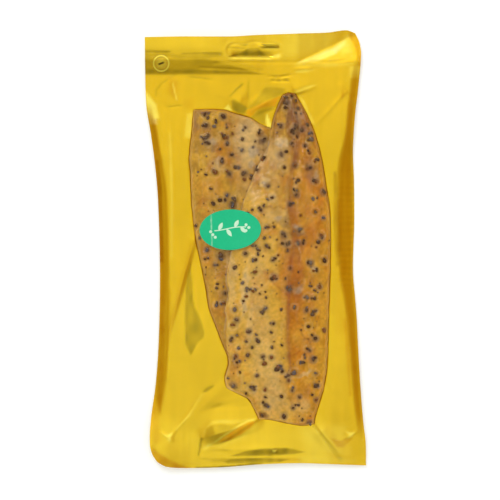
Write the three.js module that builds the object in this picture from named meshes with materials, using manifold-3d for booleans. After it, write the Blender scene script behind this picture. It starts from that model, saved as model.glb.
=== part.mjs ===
// A vacuum pack of two peppered smoked mackerel fillets, lying face up.
// A gold laminate back and a clear front film are sealed together all round, with a hang slot
// die-cut through both in the header. The fillets lie head to tail, the front one over the rear one,
// and an oval sticker sits on the front film.
// Millimetres, +Z up. The origin is under the middle of the pack, on the surface it lies on.
// +Y points to the header and +X to the right of the pack as it is read.
import * as THREE from 'three';
import { mergeVertices } from 'three/addons/utils/BufferGeometryUtils.js';
import Module from 'manifold-3d';

const wasm = await Module();
wasm.setup();

// Driving dimensions
const packHalfWidth = 66.9;
const packHalfLength = 132.5;
const filmThickness = 0.25;
const filmGap = 0.25; // between pieces that touch
const flangeLift = 3.4; // the sealed border lies this high above the table
const filmDrop = 1.15; // the steepest the front film falls away from a fillet
const rimHeight = 1.3; // a fillet's upright rim, below its rounded edge
const rimRounding = 1.9;
const slotWidth = 32;
const slotHeight = 7.8;
const slotHump = 1.6;
const slotCut = 0.5;
const slotCentre = [-0.7, 119.9];
const stickerHalfWidth = 18.5;
const stickerHalfHeight = 12.2;
const stickerCentre = [-15.2, 11.6];
const grainCount = 58; // the largest of the cracked pepper

// Colours of the finishes
const gold = new THREE.Color(0.86, 0.66, 0.12);
const clearFilm = new THREE.Color(0.96, 0.95, 0.9);
const smokedFlesh = new THREE.Color(0.75, 0.55, 0.27);
const stickerGreen = new THREE.Color(0.12, 0.72, 0.5);

const lerp = (a, b, t) => a + (b - a) * t;
const clamp = (x, low = 0, high = 1) => Math.min(high, Math.max(low, x));
const smoothStep = (low, high, x) => {
  const t = clamp((x - low) / (high - low));
  return t * t * (3 - 2 * t);
};
// From 0 at low to 1 at high with an even slope, its two bends rounded
const softRamp = (low, high, x, rounding) => {
  const bend = (s) => (s + Math.hypot(s, rounding)) / 2;
  return (bend(x - low) - bend(x - high)) / (high - low);
};

// A smooth curve y(x) through stations [x, y], flat beyond its ends.
function smoothThrough(stations) {
  const last = stations.length - 1;
  const slope = stations.map((_, i) => {
    const [x0, y0] = stations[Math.max(0, i - 1)];
    const [x1, y1] = stations[Math.min(last, i + 1)];
    return (y1 - y0) / (x1 - x0);
  });
  return (at) => {
    const x = clamp(at, stations[0][0], stations[last][0]);
    let i = 0;
    while (i < last - 1 && x > stations[i + 1][0]) i++;
    const [x0, y0] = stations[i];
    const [x1, y1] = stations[i + 1];
    const h = x1 - x0;
    const t = (x - x0) / h;
    const s = 1 - t;
    return (
      y0 * s * s * (1 + 2 * t) + y1 * t * t * (1 + 2 * s) +
      h * (slope[i] * t * s * s - slope[i + 1] * t * t * s)
    );
  };
}

// The plan of a flat piece between four edges. u runs left to right and v from bottom to top.
// left and right give x at a y, bottom and top give y at an x.
function planOf({ left, right, bottom, top }) {
  const edge = (stations) => {
    const curve = smoothThrough(stations);
    const from = stations[0][0];
    const to = stations.at(-1)[0];
    return (share) => curve(lerp(from, to, clamp(share)));
  };
  const leftX = edge(left);
  const rightX = edge(right);
  const bottomY = edge(bottom);
  const topY = edge(top);
  const point = (u, v) => [lerp(leftX(v), rightX(v), u), lerp(bottomY(u), topY(u), v)];
  const shares = (x, y) => {
    let u = 0.5;
    let v = 0.5;
    for (let round = 0; round < 8; round++) {
      u = (x - leftX(v)) / (rightX(v) - leftX(v));
      v = (y - bottomY(u)) / (topY(u) - bottomY(u));
    }
    return [u, v];
  };
  const outline = [];
  const steps = 60;
  for (let i = 0; i < steps; i++) outline.push(point(i / steps, 0));
  for (let i = 0; i < steps; i++) outline.push(point(1, i / steps));
  for (let i = 0; i < steps; i++) outline.push(point(1 - i / steps, 1));
  for (let i = 0; i < steps; i++) outline.push(point(0, 1 - i / steps));
  return { point, shares, outline };
}

// How far a point lies outside a closed outline, negative inside.
function outsideBy(outline, x, y) {
  let nearest = Infinity;
  let inside = false;
  outline.forEach(([x1, y1], i) => {
    const [x0, y0] = outline[(i + outline.length - 1) % outline.length];
    const dx = x1 - x0;
    const dy = y1 - y0;
    const t = clamp(((x - x0) * dx + (y - y0) * dy) / (dx * dx + dy * dy || 1));
    nearest = Math.min(nearest, Math.hypot(x - x0 - t * dx, y - y0 - t * dy));
    if (y0 > y !== y1 > y && x < x0 + ((y - y0) * dx) / dy) inside = !inside;
  });
  return inside ? -nearest : nearest;
}

// Plans of the pieces. The vacuum draws the pack's long sides in towards the fillets.
const packPlan = planOf({
  left: [
    [-128.8, -59.4], [-124, -62.4], [-118, -63.9], [-104, -63.4], [-80, -60.3], [-52, -58.5],
    [-13, -57.9], [30, -59.1], [51, -60.9], [69, -63.3], [88, -66.2], [128, -packHalfWidth],
  ],
  right: [
    [-131, packHalfWidth], [-117, 66.7], [-104, 65.2], [-81, 63.4], [-58, 62.1], [-43, 61.4],
    [-31, 60.5], [-13, 59.1], [17, 59.9], [42, 59.7], [60, 59.1], [81, 60.3], [96, 62.1],
    [117, 63.9], [125, 63], [130.8, 60.4],
  ],
  bottom: [
    [-59.4, -128.8], [-54, -131.6], [-43, -packHalfLength], [-21, -132.1], [3, -130.3],
    [27, -129.6], [45, -130.2], [66.9, -131],
  ],
  top: [
    [-66.9, 128], [-46, 128.4], [-15, 128.5], [0, 129.4], [27, 130.4], [44, 131.1],
    [55, packHalfLength], [60.4, 130.8],
  ],
});
const rearPlan = planOf({
  left: [
    [-93, -2.5], [-86, -7], [-72, -13], [-60, -18.8], [-47, -23.8], [-35.6, -28.1],
    [-21.7, -30.4], [5, -36], [24, -38.4], [44, -39.4], [57, -40.1], [70, -38.6], [84.4, -37.4],
  ],
  right: [
    [-93, 2.5], [-82, 5], [-65, 8.5], [-40, 13], [-10, 17.5], [20, 19.5], [45, 18],
    [62, 13.5], [73.2, 9.4],
  ],
  bottom: [[-2.5, -93], [2.5, -93.4]],
  top: [[-37.4, 84.4], [-19.4, 84.1], [-12.9, 82.1], [-3, 79.1], [4.2, 74.9], [9.4, 73.2]],
});
const frontPlan = planOf({
  left: [
    [-103.2, 2.3], [-95, -1.7], [-90.5, -4.6], [-87, -11.5], [-84.5, -16.6], [-81, -18.2],
    [-77, -18.6], [-70, -16.6], [-63, -17], [-57, -17.8], [-50, -18.6], [-42.5, -17.7], [-37, -18.6],
    [-32, -17.8], [-26, -16.8], [-20, -17.6], [-14, -17.6], [-8, -16.5], [-1, -15], [12.7, -12.4],
    [35, -5], [48, 0.4], [59.5, 6.2], [81, 11.4], [93.2, 16.5],
  ],
  right: [
    [-106, 35.4], [-101, 36.2], [-82.6, 41.6], [-68, 43.4], [-40, 44.3], [-3, 45.4],
    [24, 44.9], [37, 42.9], [53.5, 40.2], [68, 36.4], [81, 31.1], [93.4, 24.2],
  ],
  bottom: [[2.3, -103.2], [10, -103.5], [18.2, -105.3], [28.2, -106.8], [35.4, -106]],
  top: [[16.5, 93.2], [20, 94.5], [24.2, 93.4]],
});

const fishOutsideBy = (x, y) =>
  Math.min(outsideBy(rearPlan.outline, x, y), outsideBy(frontPlan.outline, x, y));

// Folds of the sealed border. Each is a crest between two points, with a flat facet on either side.
// peak is where along the crest it stands highest, spreads are the facets' widths to its left and right.
const folds = [
  { from: [22, 96], to: [38, 102], rise: 0.6, spreads: [8, 5], peak: 0.1 },
  { from: [-15.5, 90], to: [-4.5, 86.5], rise: 0.8, spreads: [10, 6], peak: 0.5 },
  { from: [-5, 83], to: [15.5, 93], rise: 0.9, spreads: [7, 5], peak: 0.5 },
  { from: [-38, 3], to: [-54, -52], rise: 0.6, spreads: [3, 6], peak: 0.3 },
  { from: [-19, -83], to: [-56, -118], rise: 0.5, spreads: [7, 5], peak: 0.2 },
  { from: [-1, -104.5], to: [-34, -115], rise: 1.7, spreads: [6.5, 15], peak: 0.7 },
  { from: [36, -106], to: [56, -128], rise: 0.7, spreads: [6, 7], peak: 0.2 },
  { from: [-14, -121.5], to: [30, -120], rise: 0.7, spreads: [16, 3.4], peak: 0.5 },
  { from: [-28, -126.6], to: [22, -125.6], rise: 0.4, spreads: [8, 2.4], peak: 0.5 },
];

// A tent-shaped ridge that thins out towards both ends.
function foldHeight({ from, to, rise, spreads, peak }, x, y) {
  const dx = to[0] - from[0];
  const dy = to[1] - from[1];
  const long = Math.hypot(dx, dy);
  const along = ((x - from[0]) * dx + (y - from[1]) * dy) / (long * long);
  const t = clamp(along);
  const side = ((x - from[0]) * -dy + (y - from[1]) * dx) / long;
  const past = Math.max(0, -along, along - 1) * long;
  const away = Math.hypot(side, past);
  const thin = t < peak ? 0.4 + (0.6 * t) / peak : (1 - t) / (1 - peak || 1);
  return rise * thin * Math.max(0, 1 - away / (side > 0 ? spreads[0] : spreads[1]));
}

// The header stands higher than the border below it, by a slope that narrows towards the right.
function headerBand(x, y) {
  const low = 105.4;
  const slope = 0.235;
  const width = 9.4 * clamp((7 - x) / 35);
  const steep = softRamp(0, 1, (y - low) / Math.max(width, 1), 0.06);
  return slope * width * (steep + 0.25 * smoothStep(0, 8, y - low - width));
}

// A flat three-sided facet falls away towards the top right corner.
const cornerFacet = (x, y) => -0.17 * clamp(y - 113.3, 0, 15.5 * clamp((x - 26) / 31.5));

// The pack's long sides roll down towards the table.
function edgeRolls(x, y) {
  const v = clamp(packPlan.shares(x, y)[1]);
  const fromLeft = x - packPlan.point(0, v)[0];
  const fromRight = packPlan.point(1, v)[0] - x;
  const leftWidth = 3.3 + 2.1 * smoothStep(80, 30, y);
  const leftRoll = 0.34 * leftWidth * (1 - softRamp(0.6, leftWidth, fromLeft, 0.8));
  const rightWidth = 4.2 + 5.3 * smoothStep(75, 45, y) * smoothStep(-75, 25, y);
  const rightRoll = 0.3 * rightWidth * (1 - softRamp(0.8, rightWidth, fromRight, 1.2));
  return (
    leftRoll * smoothStep(-112, -85, y) * smoothStep(92, 70, y) +
    rightRoll * smoothStep(-122, -95, y) * smoothStep(118, 100, y)
  );
}

// Height of the sealed border above the table.
function borderHeight(x, y) {
  const headerRise = 0.03 * Math.max(0, y - 113) * smoothStep(0, 50, x);
  const cornerLift = 2.2 * smoothStep(30, 0, Math.hypot(x + 62, y + 128));
  const sway = 0.4 * Math.sin(x / 17 + 0.8) * Math.cos(y / 23) + 0.25 * Math.sin(y / 13 + x / 29);
  const creased = folds.reduce((sum, fold) => sum + foldHeight(fold, x, y), 0);
  const raisedBy = headerBand(x, y) + cornerFacet(x, y) + headerRise + cornerLift + sway + creased;
  return Math.max(0.35, flangeLift + raisedBy - edgeRolls(x, y));
}

// The gold back lies flat under the fillets and rises round them to the sealed border.
const backHeight = (x, y) => borderHeight(x, y) * smoothStep(-6, 0.5, fishOutsideBy(x, y));

// A grid of heights over a plan, with lines at the given shares of its width and length.
function gridOver(plan, us, vs, height) {
  const x = [];
  const y = [];
  const z = [];
  for (const v of vs) {
    for (const u of us) {
      const [px, py] = plan.point(u, v);
      x.push(px);
      y.push(py);
      z.push(height(px, py, u, v));
    }
  }
  return { plan, us, vs, x, y, z };
}

// The height of a grid's facets at a point, or -Infinity off the plan.
function heightOn(grid, x, y) {
  const [u, v] = grid.plan.shares(x, y);
  if (!(u >= 0 && u <= 1 && v >= 0 && v <= 1)) return -Infinity;
  let i = 0;
  let j = 0;
  while (i < grid.us.length - 2 && u > grid.us[i + 1]) i++;
  while (j < grid.vs.length - 2 && v > grid.vs[j + 1]) j++;
  const s = (u - grid.us[i]) / (grid.us[i + 1] - grid.us[i]);
  const t = (v - grid.vs[j]) / (grid.vs[j + 1] - grid.vs[j]);
  return facetHeight(grid, i, j, s, t);
}

// Corner weights of the facet that holds the point (s, t) of a cell, in the order of its corners
function facetWeights(s, t) {
  return s >= t ? [1 - s, s - t, t, 0] : [1 - t, 0, s, t - s];
}

function facetHeight(grid, i, j, s, t) {
  const n = grid.us.length;
  const corners = [j * n + i, j * n + i + 1, (j + 1) * n + i + 1, (j + 1) * n + i];
  return facetWeights(s, t).reduce((sum, w, k) => sum + w * grid.z[corners[k]], 0);
}

// Raises a grid's vertices until its facets clear what lies under them by the gap.
function liftOver(grid, support, gap, fine = 5) {
  const n = grid.us.length;
  const probes = [];
  for (let j = 0; j < grid.vs.length - 1; j++) {
    for (let i = 0; i < n - 1; i++) {
      const corners = [j * n + i, j * n + i + 1, (j + 1) * n + i + 1, (j + 1) * n + i];
      for (let p = 0; p <= fine; p++) {
        for (let q = 0; q <= fine; q++) {
          const weights = facetWeights(p / fine, q / fine);
          const x = corners.reduce((sum, c, k) => sum + weights[k] * grid.x[c], 0);
          const y = corners.reduce((sum, c, k) => sum + weights[k] * grid.y[c], 0);
          const floor = support(x, y) + gap;
          const spread = weights.reduce((sum, w) => sum + w * w, 0);
          if (Number.isFinite(floor)) probes.push({ corners, weights, floor, spread });
        }
      }
    }
  }
  for (let round = 0; round < 30; round++) {
    for (const { corners, weights, floor, spread } of probes) {
      const short = floor - weights.reduce((sum, w, k) => sum + w * grid.z[corners[k]], 0);
      if (short > 0) corners.forEach((c, k) => (grid.z[c] += (short * weights[k]) / spread));
    }
  }
  return grid;
}

// Lets a film hang from its high points no steeper than the given slope.
function hangFrom(grid, steepest) {
  const n = grid.us.length;
  const rows = grid.vs.length;
  for (let round = 0; round < 6; round++) {
    for (let j = 0; j < rows; j++) {
      for (let i = 0; i < n; i++) {
        const here = j * n + i;
        for (const [di, dj] of [[-1, 0], [1, 0], [0, -1], [0, 1]]) {
          if (i + di < 0 || i + di >= n || j + dj < 0 || j + dj >= rows) continue;
          const there = (j + dj) * n + i + di;
          const run = Math.hypot(grid.x[here] - grid.x[there], grid.y[here] - grid.y[there]);
          grid.z[here] = Math.max(grid.z[here], grid.z[there] - steepest * run);
        }
      }
    }
  }
  return grid;
}

const evenly = (count) => Array.from({ length: count + 1 }, (_, i) => i / count);

// Closes the space between two grids of the same lines into one solid.
function slabBetween(lower, upper) {
  const n = upper.us.length;
  const rows = upper.vs.length;
  const size = n * rows;
  const position = [];
  for (const grid of [lower, upper]) {
    for (let k = 0; k < size; k++) position.push(grid.x[k], grid.y[k], grid.z[k]);
  }
  const index = [];
  for (let j = 0; j < rows - 1; j++) {
    for (let i = 0; i < n - 1; i++) {
      const a = j * n + i;
      const [b, c, d] = [a + 1, a + n + 1, a + n];
      index.push(a + size, b + size, c + size, a + size, c + size, d + size);
      index.push(a, c, b, a, d, c);
    }
  }
  const rim = [];
  for (let i = 0; i < n - 1; i++) rim.push(i);
  for (let j = 0; j < rows - 1; j++) rim.push(j * n + n - 1);
  for (let i = n - 1; i > 0; i--) rim.push((rows - 1) * n + i);
  for (let j = rows - 1; j > 0; j--) rim.push(j * n);
  rim.forEach((a, k) => {
    const b = rim[(k + 1) % rim.length];
    index.push(a, b, b + size, a, b + size, a + size);
  });
  const geometry = new THREE.BufferGeometry();
  geometry.setAttribute('position', new THREE.Float32BufferAttribute(position, 3));
  geometry.setIndex(index);
  return geometry;
}

function raised(grid, by) {
  return { ...grid, z: grid.z.map((z) => z + by) };
}

// Solids for joining and cutting
function solidOf(geometry) {
  const bare = geometry.index ? geometry.clone() : geometry;
  bare.deleteAttribute('normal');
  bare.deleteAttribute('uv');
  const merged = mergeVertices(bare, 1e-4);
  return new wasm.Manifold(
    new wasm.Mesh({
      numProp: 3,
      vertProperties: new Float32Array(merged.attributes.position.array),
      triVerts: new Uint32Array(merged.index.array),
    }),
  );
}

function geometryOf(solid) {
  const mesh = solid.getMesh();
  const geometry = new THREE.BufferGeometry();
  geometry.setAttribute('position', new THREE.BufferAttribute(mesh.vertProperties, 3));
  geometry.setIndex(new THREE.BufferAttribute(mesh.triVerts, 1));
  return geometry;
}

// Gold back
const backColumns = [
  0, 0.03, 0.07, 0.115, 0.16, 0.2, 0.24, 0.3, 0.4, 0.5, 0.6, 0.7, 0.78, 0.83, 0.87, 0.91, 0.955, 1,
];
const filmRows = [
  ...evenly(7).map((t) => lerp(0, 0.13, t)),
  ...evenly(26).slice(1).map((t) => lerp(0.13, 0.825, t)),
  ...evenly(11).slice(1).map((t) => lerp(0.825, 1, t)),
];
const backUnder = gridOver(packPlan, backColumns, filmRows, backHeight);
const backTop = raised(backUnder, filmThickness);
const backSurface = (x, y) => heightOn(backTop, x, y);

// A fillet's thickness: across runs from its left edge to its right, along from bottom to top.
// The dip half way across is the line where the bones came out. midline is its place at each height.
const rearThickness = {
  across: [
    [0, 0.78], [0.17, 1], [0.37, 0.96], [0.5, 0.86], [0.57, 0.92], [0.74, 0.74], [0.9, 0.42], [1, 0.16],
  ],
  along: [[0, 1.8], [0.15, 4.4], [0.3, 7.2], [0.5, 9.6], [0.8, 11], [1, 10]],
  midline: [[0, 0.42], [1, 0.42]],
};
const frontThickness = {
  across: [
    [0, 0.2], [0.13, 0.44], [0.3, 0.74], [0.43, 0.88], [0.5, 0.8], [0.6, 0.9], [0.8, 1], [1, 0.8],
  ],
  along: [[0, 9], [0.06, 11], [0.25, 12.5], [0.5, 12.8], [0.75, 10], [0.92, 7], [1, 4.8]],
  midline: [
    [0, 0.6], [0.21, 0.614], [0.345, 0.598], [0.56, 0.612], [0.655, 0.535], [0.785, 0.545], [0.92, 0.65],
  ],
};

// A fillet lies on its support, and its top is its thickness above the base.
function filletGrids(plan, { across, along, midline }, columns, rows, support, base) {
  const acrossShare = smoothThrough(across);
  const alongHeight = smoothThrough(along);
  const middleShare = smoothThrough(midline);
  const laid = gridOver(plan, columns, rows, (x, y) => support(x, y) + filmGap);
  const under = liftOver(laid, support, filmGap);
  const upper = gridOver(plan, columns, rows, (x, y, u, v) => {
    const middle = middleShare(v);
    const share = u < middle ? u / middle / 2 : (1 + (u - middle) / (1 - middle)) / 2;
    const flake = 0.25 * Math.sin(0.55 * y + 5 * Math.abs(u - middle));
    return base(x, y) + alongHeight(v) * acrossShare(share) + flake;
  });
  upper.z = upper.z.map((full, k) => {
    const inset = Math.max(0, -outsideBy(plan.outline, upper.x[k], upper.y[k]));
    const rounding = Math.sqrt(1 - (1 - clamp(inset / rimRounding)) ** 2);
    const rim = under.z[k] + rimHeight;
    return rim + Math.max(0, full - rim) * rounding;
  });
  return { under, upper };
}

const rearColumns = [0, 0.05, 0.15, 0.3, 0.42, 0.52, 0.66, 0.82, 0.94, 1];
const frontColumns = [0, 0.05, 0.16, 0.3, 0.45, 0.57, 0.645, 0.72, 0.84, 0.95, 1];
const filletRows = [0, 0.015, 0.045, ...evenly(29).slice(3, -2), 0.955, 0.985, 1];

const onBack = filmThickness + filmGap;
const rear = filletGrids(rearPlan, rearThickness, rearColumns, filletRows, backSurface, () => onBack);

// Cracked peppercorns, the largest of them, scattered over what shows of each fillet
let draw = 7;
const random = () => {
  draw = (draw * 16807) % 2147483647;
  return draw / 2147483647;
};

function scatterGrains(upper, plan, count, hidden) {
  const grains = [];
  for (let tries = 0; grains.length < count && tries < 4000; tries++) {
    const [x, y] = plan.point(random(), random());
    const radius = lerp(1.0, 1.45, random());
    const inset = -outsideBy(plan.outline, x, y);
    const crowded = grains.some((g) => Math.hypot(g.x - x, g.y - y) < 5.5);
    if (inset < 4.5 || crowded || hidden(x, y)) continue;
    grains.push({ x, y, z: heightOn(upper, x, y), radius, turn: random() * 6, tilt: random() * 3 });
  }
  return grains;
}

function grainSolid({ x, y, z, radius, turn, tilt }) {
  const grain = new THREE.IcosahedronGeometry(radius, 0);
  grain.scale(1, 0.82, 0.72);
  grain.rotateX(tilt * 0.25);
  grain.rotateZ(turn);
  grain.translate(x, y, z + radius * 0.12);
  return solidOf(grain);
}

const rearGrains = scatterGrains(rear.upper, rearPlan, Math.round(grainCount * 0.33),
  (x, y) => outsideBy(frontPlan.outline, x, y) < 3.5);
const rearBody = rearGrains.reduce(
  (body, grain) => body.add(grainSolid(grain)),
  solidOf(slabBetween(rear.under, rear.upper)),
);

const grainTop = (grains, x, y) => {
  let top = -Infinity;
  for (const g of grains) {
    if (Math.hypot(g.x - x, g.y - y) < g.radius + 0.5) top = Math.max(top, g.z + g.radius * 1.1);
  }
  return top;
};

// The front fillet's belly side lies over the rear fillet, and bridges its edge.
const underFront = (x, y) => Math.max(backSurface(x, y), heightOn(rear.upper, x, y));
const bridgeRings = [
  { radius: 4.5, weight: 0.066 },
  { radius: 9, weight: 0.048 },
];
function bridged(x, y) {
  const at = (px, py) => Math.max(onBack, heightOn(rear.upper, px, py));
  let height = 0.088 * at(x, y);
  for (const { radius, weight } of bridgeRings) {
    for (let k = 0; k < 8; k++) {
      const angle = (Math.PI / 4) * k;
      height += weight * at(x + radius * Math.cos(angle), y + radius * Math.sin(angle));
    }
  }
  return height + filmGap;
}
const front = filletGrids(frontPlan, frontThickness, frontColumns, filletRows, underFront, bridged);
const frontGrains = scatterGrains(front.upper, frontPlan, grainCount - rearGrains.length, () => false);
const frontBody = frontGrains.reduce(
  (body, grain) => body.add(grainSolid(grain)),
  solidOf(slabBetween(front.under, front.upper)),
);

// Clear front film, drawn down over the fillets and sealed to the back round them
const filmColumns = [
  0, 0.03, 0.07, 0.115, 0.16, 0.195, 0.225, 0.255, 0.3, 0.345, 0.38, 0.42, 0.47, 0.53, 0.58, 0.63, 0.68,
  0.73, 0.775, 0.81, 0.84, 0.87, 0.91, 0.955, 1,
];
const filletTop = (x, y) => {
  const around = [[0, 0], [0.8, 0], [-0.8, 0], [0, 0.8], [0, -0.8]];
  const heights = around.flatMap(([dx, dy]) =>
    [rear, front].map(({ upper }) => heightOn(upper, x + dx, y + dy)),
  );
  return Math.max(...heights);
};
const underFilm = (x, y) =>
  Math.max(
    backSurface(x, y),
    filletTop(x, y),
    grainTop(rearGrains, x, y),
    grainTop(frontGrains, x, y),
  );
const filmStart = gridOver(packPlan, filmColumns, filmRows, (x, y) => underFilm(x, y) + filmGap);
const filmUnder = liftOver(hangFrom(filmStart, filmDrop), underFilm, filmGap);
const filmTop = raised(filmUnder, filmThickness);

// Hang slot: die-cut through both films with a nick at each corner, so its tab is still in place.
function slotOutline() {
  const half = slotWidth / 2;
  const low = -slotHeight / 2;
  const high = slotHeight / 2;
  const round = slotHeight / 2;
  const shape = new THREE.Shape();
  shape.moveTo(-half + round, low);
  shape.lineTo(half - round, low);
  shape.absarc(half - round, 0, round, -Math.PI / 2, Math.PI / 2, false);
  shape.lineTo(6.2, high);
  shape.quadraticCurveTo(4.6, high + slotHump, 0, high + slotHump);
  shape.quadraticCurveTo(-4.6, high + slotHump, -6.2, high);
  shape.lineTo(-half + round, high);
  shape.absarc(-half + round, 0, round, Math.PI / 2, Math.PI * 1.5, false);
  return shape.getSpacedPoints(44);
}

function slotCuts() {
  const points = slotOutline();
  const around = points.length - 1;
  const nickEvery = around / 4;
  const cuts = [];
  for (let k = 0; k < 4; k++) {
    const first = Math.round(k * nickEvery) + 1;
    const last = Math.round((k + 1) * nickEvery);
    const outer = [];
    const inner = [];
    for (let i = first; i <= last; i++) {
      const here = points[i % around];
      const before = points[(i - 1 + around) % around];
      const after = points[(i + 1) % around];
      const along = after.clone().sub(before).normalize();
      const out = new THREE.Vector2(along.y, -along.x).multiplyScalar(slotCut / 2);
      outer.push(here.clone().add(out));
      inner.unshift(here.clone().sub(out));
    }
    const strip = new THREE.ExtrudeGeometry(new THREE.Shape([...outer, ...inner]), {
      depth: 20,
      bevelEnabled: false,
    });
    strip.translate(slotCentre[0], slotCentre[1], -2);
    cuts.push(solidOf(strip));
  }
  return cuts;
}

const cutSlot = (solid) => slotCuts().reduce((left, cut) => left.subtract(cut), solid);
const backBody = cutSlot(solidOf(slabBetween(backUnder, backTop)));
const filmBody = cutSlot(solidOf(slabBetween(filmUnder, filmTop)));

// Oval sticker on the front film
const stickerPlan = {
  point: (u, v) => {
    const angle = 2 * Math.PI * u;
    return [
      stickerCentre[0] + stickerHalfWidth * v * Math.cos(angle),
      stickerCentre[1] + stickerHalfHeight * v * Math.sin(angle),
    ];
  },
};

// The highest straight line over a point, between two points of the film in its row.
// The sticker is stiff, and sags only part of the way below this line.
function spannedHeight(x, y) {
  const toLeft = x - stickerCentre[0] + stickerHalfWidth + 1;
  const toRight = stickerCentre[0] + stickerHalfWidth + 1 - x;
  const shares = evenly(10).slice(1);
  let height = heightOn(filmTop, x, y);
  for (const before of shares.map((t) => t * toLeft)) {
    for (const after of shares.map((t) => t * toRight)) {
      const [left, right] = [x - before, x + after].map((end) => heightOn(filmTop, end, y));
      height = Math.max(height, lerp(left, right, before / (before + after)));
    }
  }
  return height;
}

function stickerSolid() {
  const rings = 4;
  const sectors = 24;
  const lift = filmGap + 0.06;
  const x = [stickerCentre[0]];
  const y = [stickerCentre[1]];
  for (let r = 1; r <= rings; r++) {
    for (let s = 0; s < sectors; s++) {
      const [px, py] = stickerPlan.point(s / sectors, r / rings);
      x.push(px);
      y.push(py);
    }
  }
  const nearby = [[0, 0], [3, 0], [-3, 0], [0, 3], [0, -3], [2, 2], [-2, 2], [2, -2], [-2, -2]];
  let z = x.map((px, k) => {
    const heights = nearby.map(([dx, dy]) => heightOn(filmTop, px + dx, y[k] + dy));
    const lying = heights.reduce((sum, height) => sum + height) / heights.length;
    return lerp(lying, spannedHeight(px, y[k]), 0.6) + lift;
  });
  const faces = [];
  const ringPoint = (r, s) => (r === 0 ? 0 : 1 + (r - 1) * sectors + (s % sectors));
  for (let s = 0; s < sectors; s++) {
    faces.push([0, ringPoint(1, s), ringPoint(1, s + 1)]);
    for (let r = 1; r < rings; r++) {
      const outer = [ringPoint(r + 1, s), ringPoint(r + 1, s + 1)];
      faces.push([ringPoint(r, s), ...outer], [ringPoint(r, s), outer[1], ringPoint(r, s + 1)]);
    }
  }
  const near = x.map((_, k) => faces.filter((corners) => corners.includes(k)).flat());
  const shares = [];
  for (let p = 0; p <= 4; p++) for (let q = 0; q <= 4 - p; q++) shares.push([p / 4, q / 4]);
  for (let round = 0; round < 30; round++) {
    if (round < 5) z = near.map((corners) => corners.reduce((sum, c) => sum + z[c], 0) / corners.length);
    for (const corners of faces) {
      for (const [s, t] of shares) {
        const weights = [1 - s - t, s, t];
        const at = (values) => corners.reduce((sum, c, k) => sum + weights[k] * values[c], 0);
        const short = heightOn(filmTop, at(x), at(y)) + lift - at(z);
        const spread = weights.reduce((sum, w) => sum + w * w, 0);
        if (short > 0) corners.forEach((c, k) => (z[c] += (short * weights[k]) / spread));
      }
    }
  }
  const count = x.length;
  const position = [];
  for (const rise of [0, filmThickness]) x.forEach((px, k) => position.push(px, y[k], z[k] + rise));
  const index = [];
  for (const [a, b, c] of faces) index.push(a + count, b + count, c + count, a, c, b);
  for (let s = 0; s < sectors; s++) {
    const a = ringPoint(rings, s);
    const b = ringPoint(rings, s + 1);
    index.push(a, b, b + count, a, b + count, a + count);
  }
  const geometry = new THREE.BufferGeometry();
  geometry.setAttribute('position', new THREE.Float32BufferAttribute(position, 3));
  geometry.setIndex(index);
  return geometry;
}

// The pack
function named(name, geometry, color, roughness, metalness, opacity = 1) {
  const material = new THREE.MeshStandardMaterial({ color, roughness, metalness, opacity });
  material.transparent = opacity < 1;
  const mesh = new THREE.Mesh(geometry, material);
  mesh.name = name;
  return mesh;
}

const pack = new THREE.Group();
pack.add(
  named('back_film', geometryOf(backBody), gold, 0.28, 1),
  named('fillet_rear', geometryOf(rearBody), smokedFlesh, 0.45, 0),
  named('fillet_front', geometryOf(frontBody), smokedFlesh, 0.45, 0),
  named('front_film', geometryOf(filmBody), clearFilm, 0.08, 0, 0.2),
  named('sticker', stickerSolid(), stickerGreen, 0.4, 0),
);

export default pack;
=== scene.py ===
import bmesh
import bpy
import numpy as np
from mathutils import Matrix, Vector


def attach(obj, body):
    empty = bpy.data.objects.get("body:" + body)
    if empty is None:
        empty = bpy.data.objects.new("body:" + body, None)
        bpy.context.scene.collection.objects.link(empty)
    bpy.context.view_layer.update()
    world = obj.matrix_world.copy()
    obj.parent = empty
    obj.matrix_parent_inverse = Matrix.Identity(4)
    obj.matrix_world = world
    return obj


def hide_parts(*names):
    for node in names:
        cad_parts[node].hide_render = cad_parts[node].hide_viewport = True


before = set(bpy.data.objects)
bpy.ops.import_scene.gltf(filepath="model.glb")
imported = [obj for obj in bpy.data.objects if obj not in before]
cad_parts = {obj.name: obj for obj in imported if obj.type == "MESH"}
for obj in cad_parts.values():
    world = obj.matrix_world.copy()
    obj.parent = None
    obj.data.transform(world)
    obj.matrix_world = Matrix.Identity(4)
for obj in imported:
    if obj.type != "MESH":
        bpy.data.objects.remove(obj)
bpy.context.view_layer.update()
mm = 0.001
photoScale = {"pixels": 500, "mmPerPixel": 0.605, "middle": (255.5, 249.0)}


# Small helpers for arrays

def lerp(a, b, t):
    return a + (b - a) * t


def clamp01(x):
    return np.clip(x, 0.0, 1.0)


def smoothStep(low, high, x):
    # 3t^2 - 2t^3, with t running from 0 at low to 1 at high
    t = clamp01((x - low) / (high - low))
    return t * t * (3 - 2 * t)


def faded(value, x, ramps):
    # the value times a smooth step of x for each ramp
    for low, high in ramps:
        value = value * smoothStep(low, high, x)
    return value


def softRamp(low, high, x, soft):
    # from 0 at low to 1 at high with an even slope, its two bends rounded by soft
    def bend(s):
        return (s + np.sqrt(s * s + soft * soft)) / 2

    return (bend(x - low) - bend(x - high)) / (high - low)


def rotated(a, b, angle):
    c, s = np.cos(angle), np.sin(angle)
    return c * a - s * b, s * a + c * b


def fromPhoto(px, py):
    # a photo pixel on the pack's plan, in millimetres
    cx, cy = photoScale["middle"]
    return (px - cx) * photoScale["mmPerPixel"], (cy - py) * photoScale["mmPerPixel"]


def linearColour(red, green, blue):
    # sRGB bytes to the linear values that the shaders use
    c = np.array([red, green, blue]) / 255
    return np.where(c <= 0.04045, c / 12.92, ((c + 0.055) / 1.055) ** 2.4)


def linearTones(tones):
    return {name: linearColour(*tone) for name, tone in tones.items()}


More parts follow.
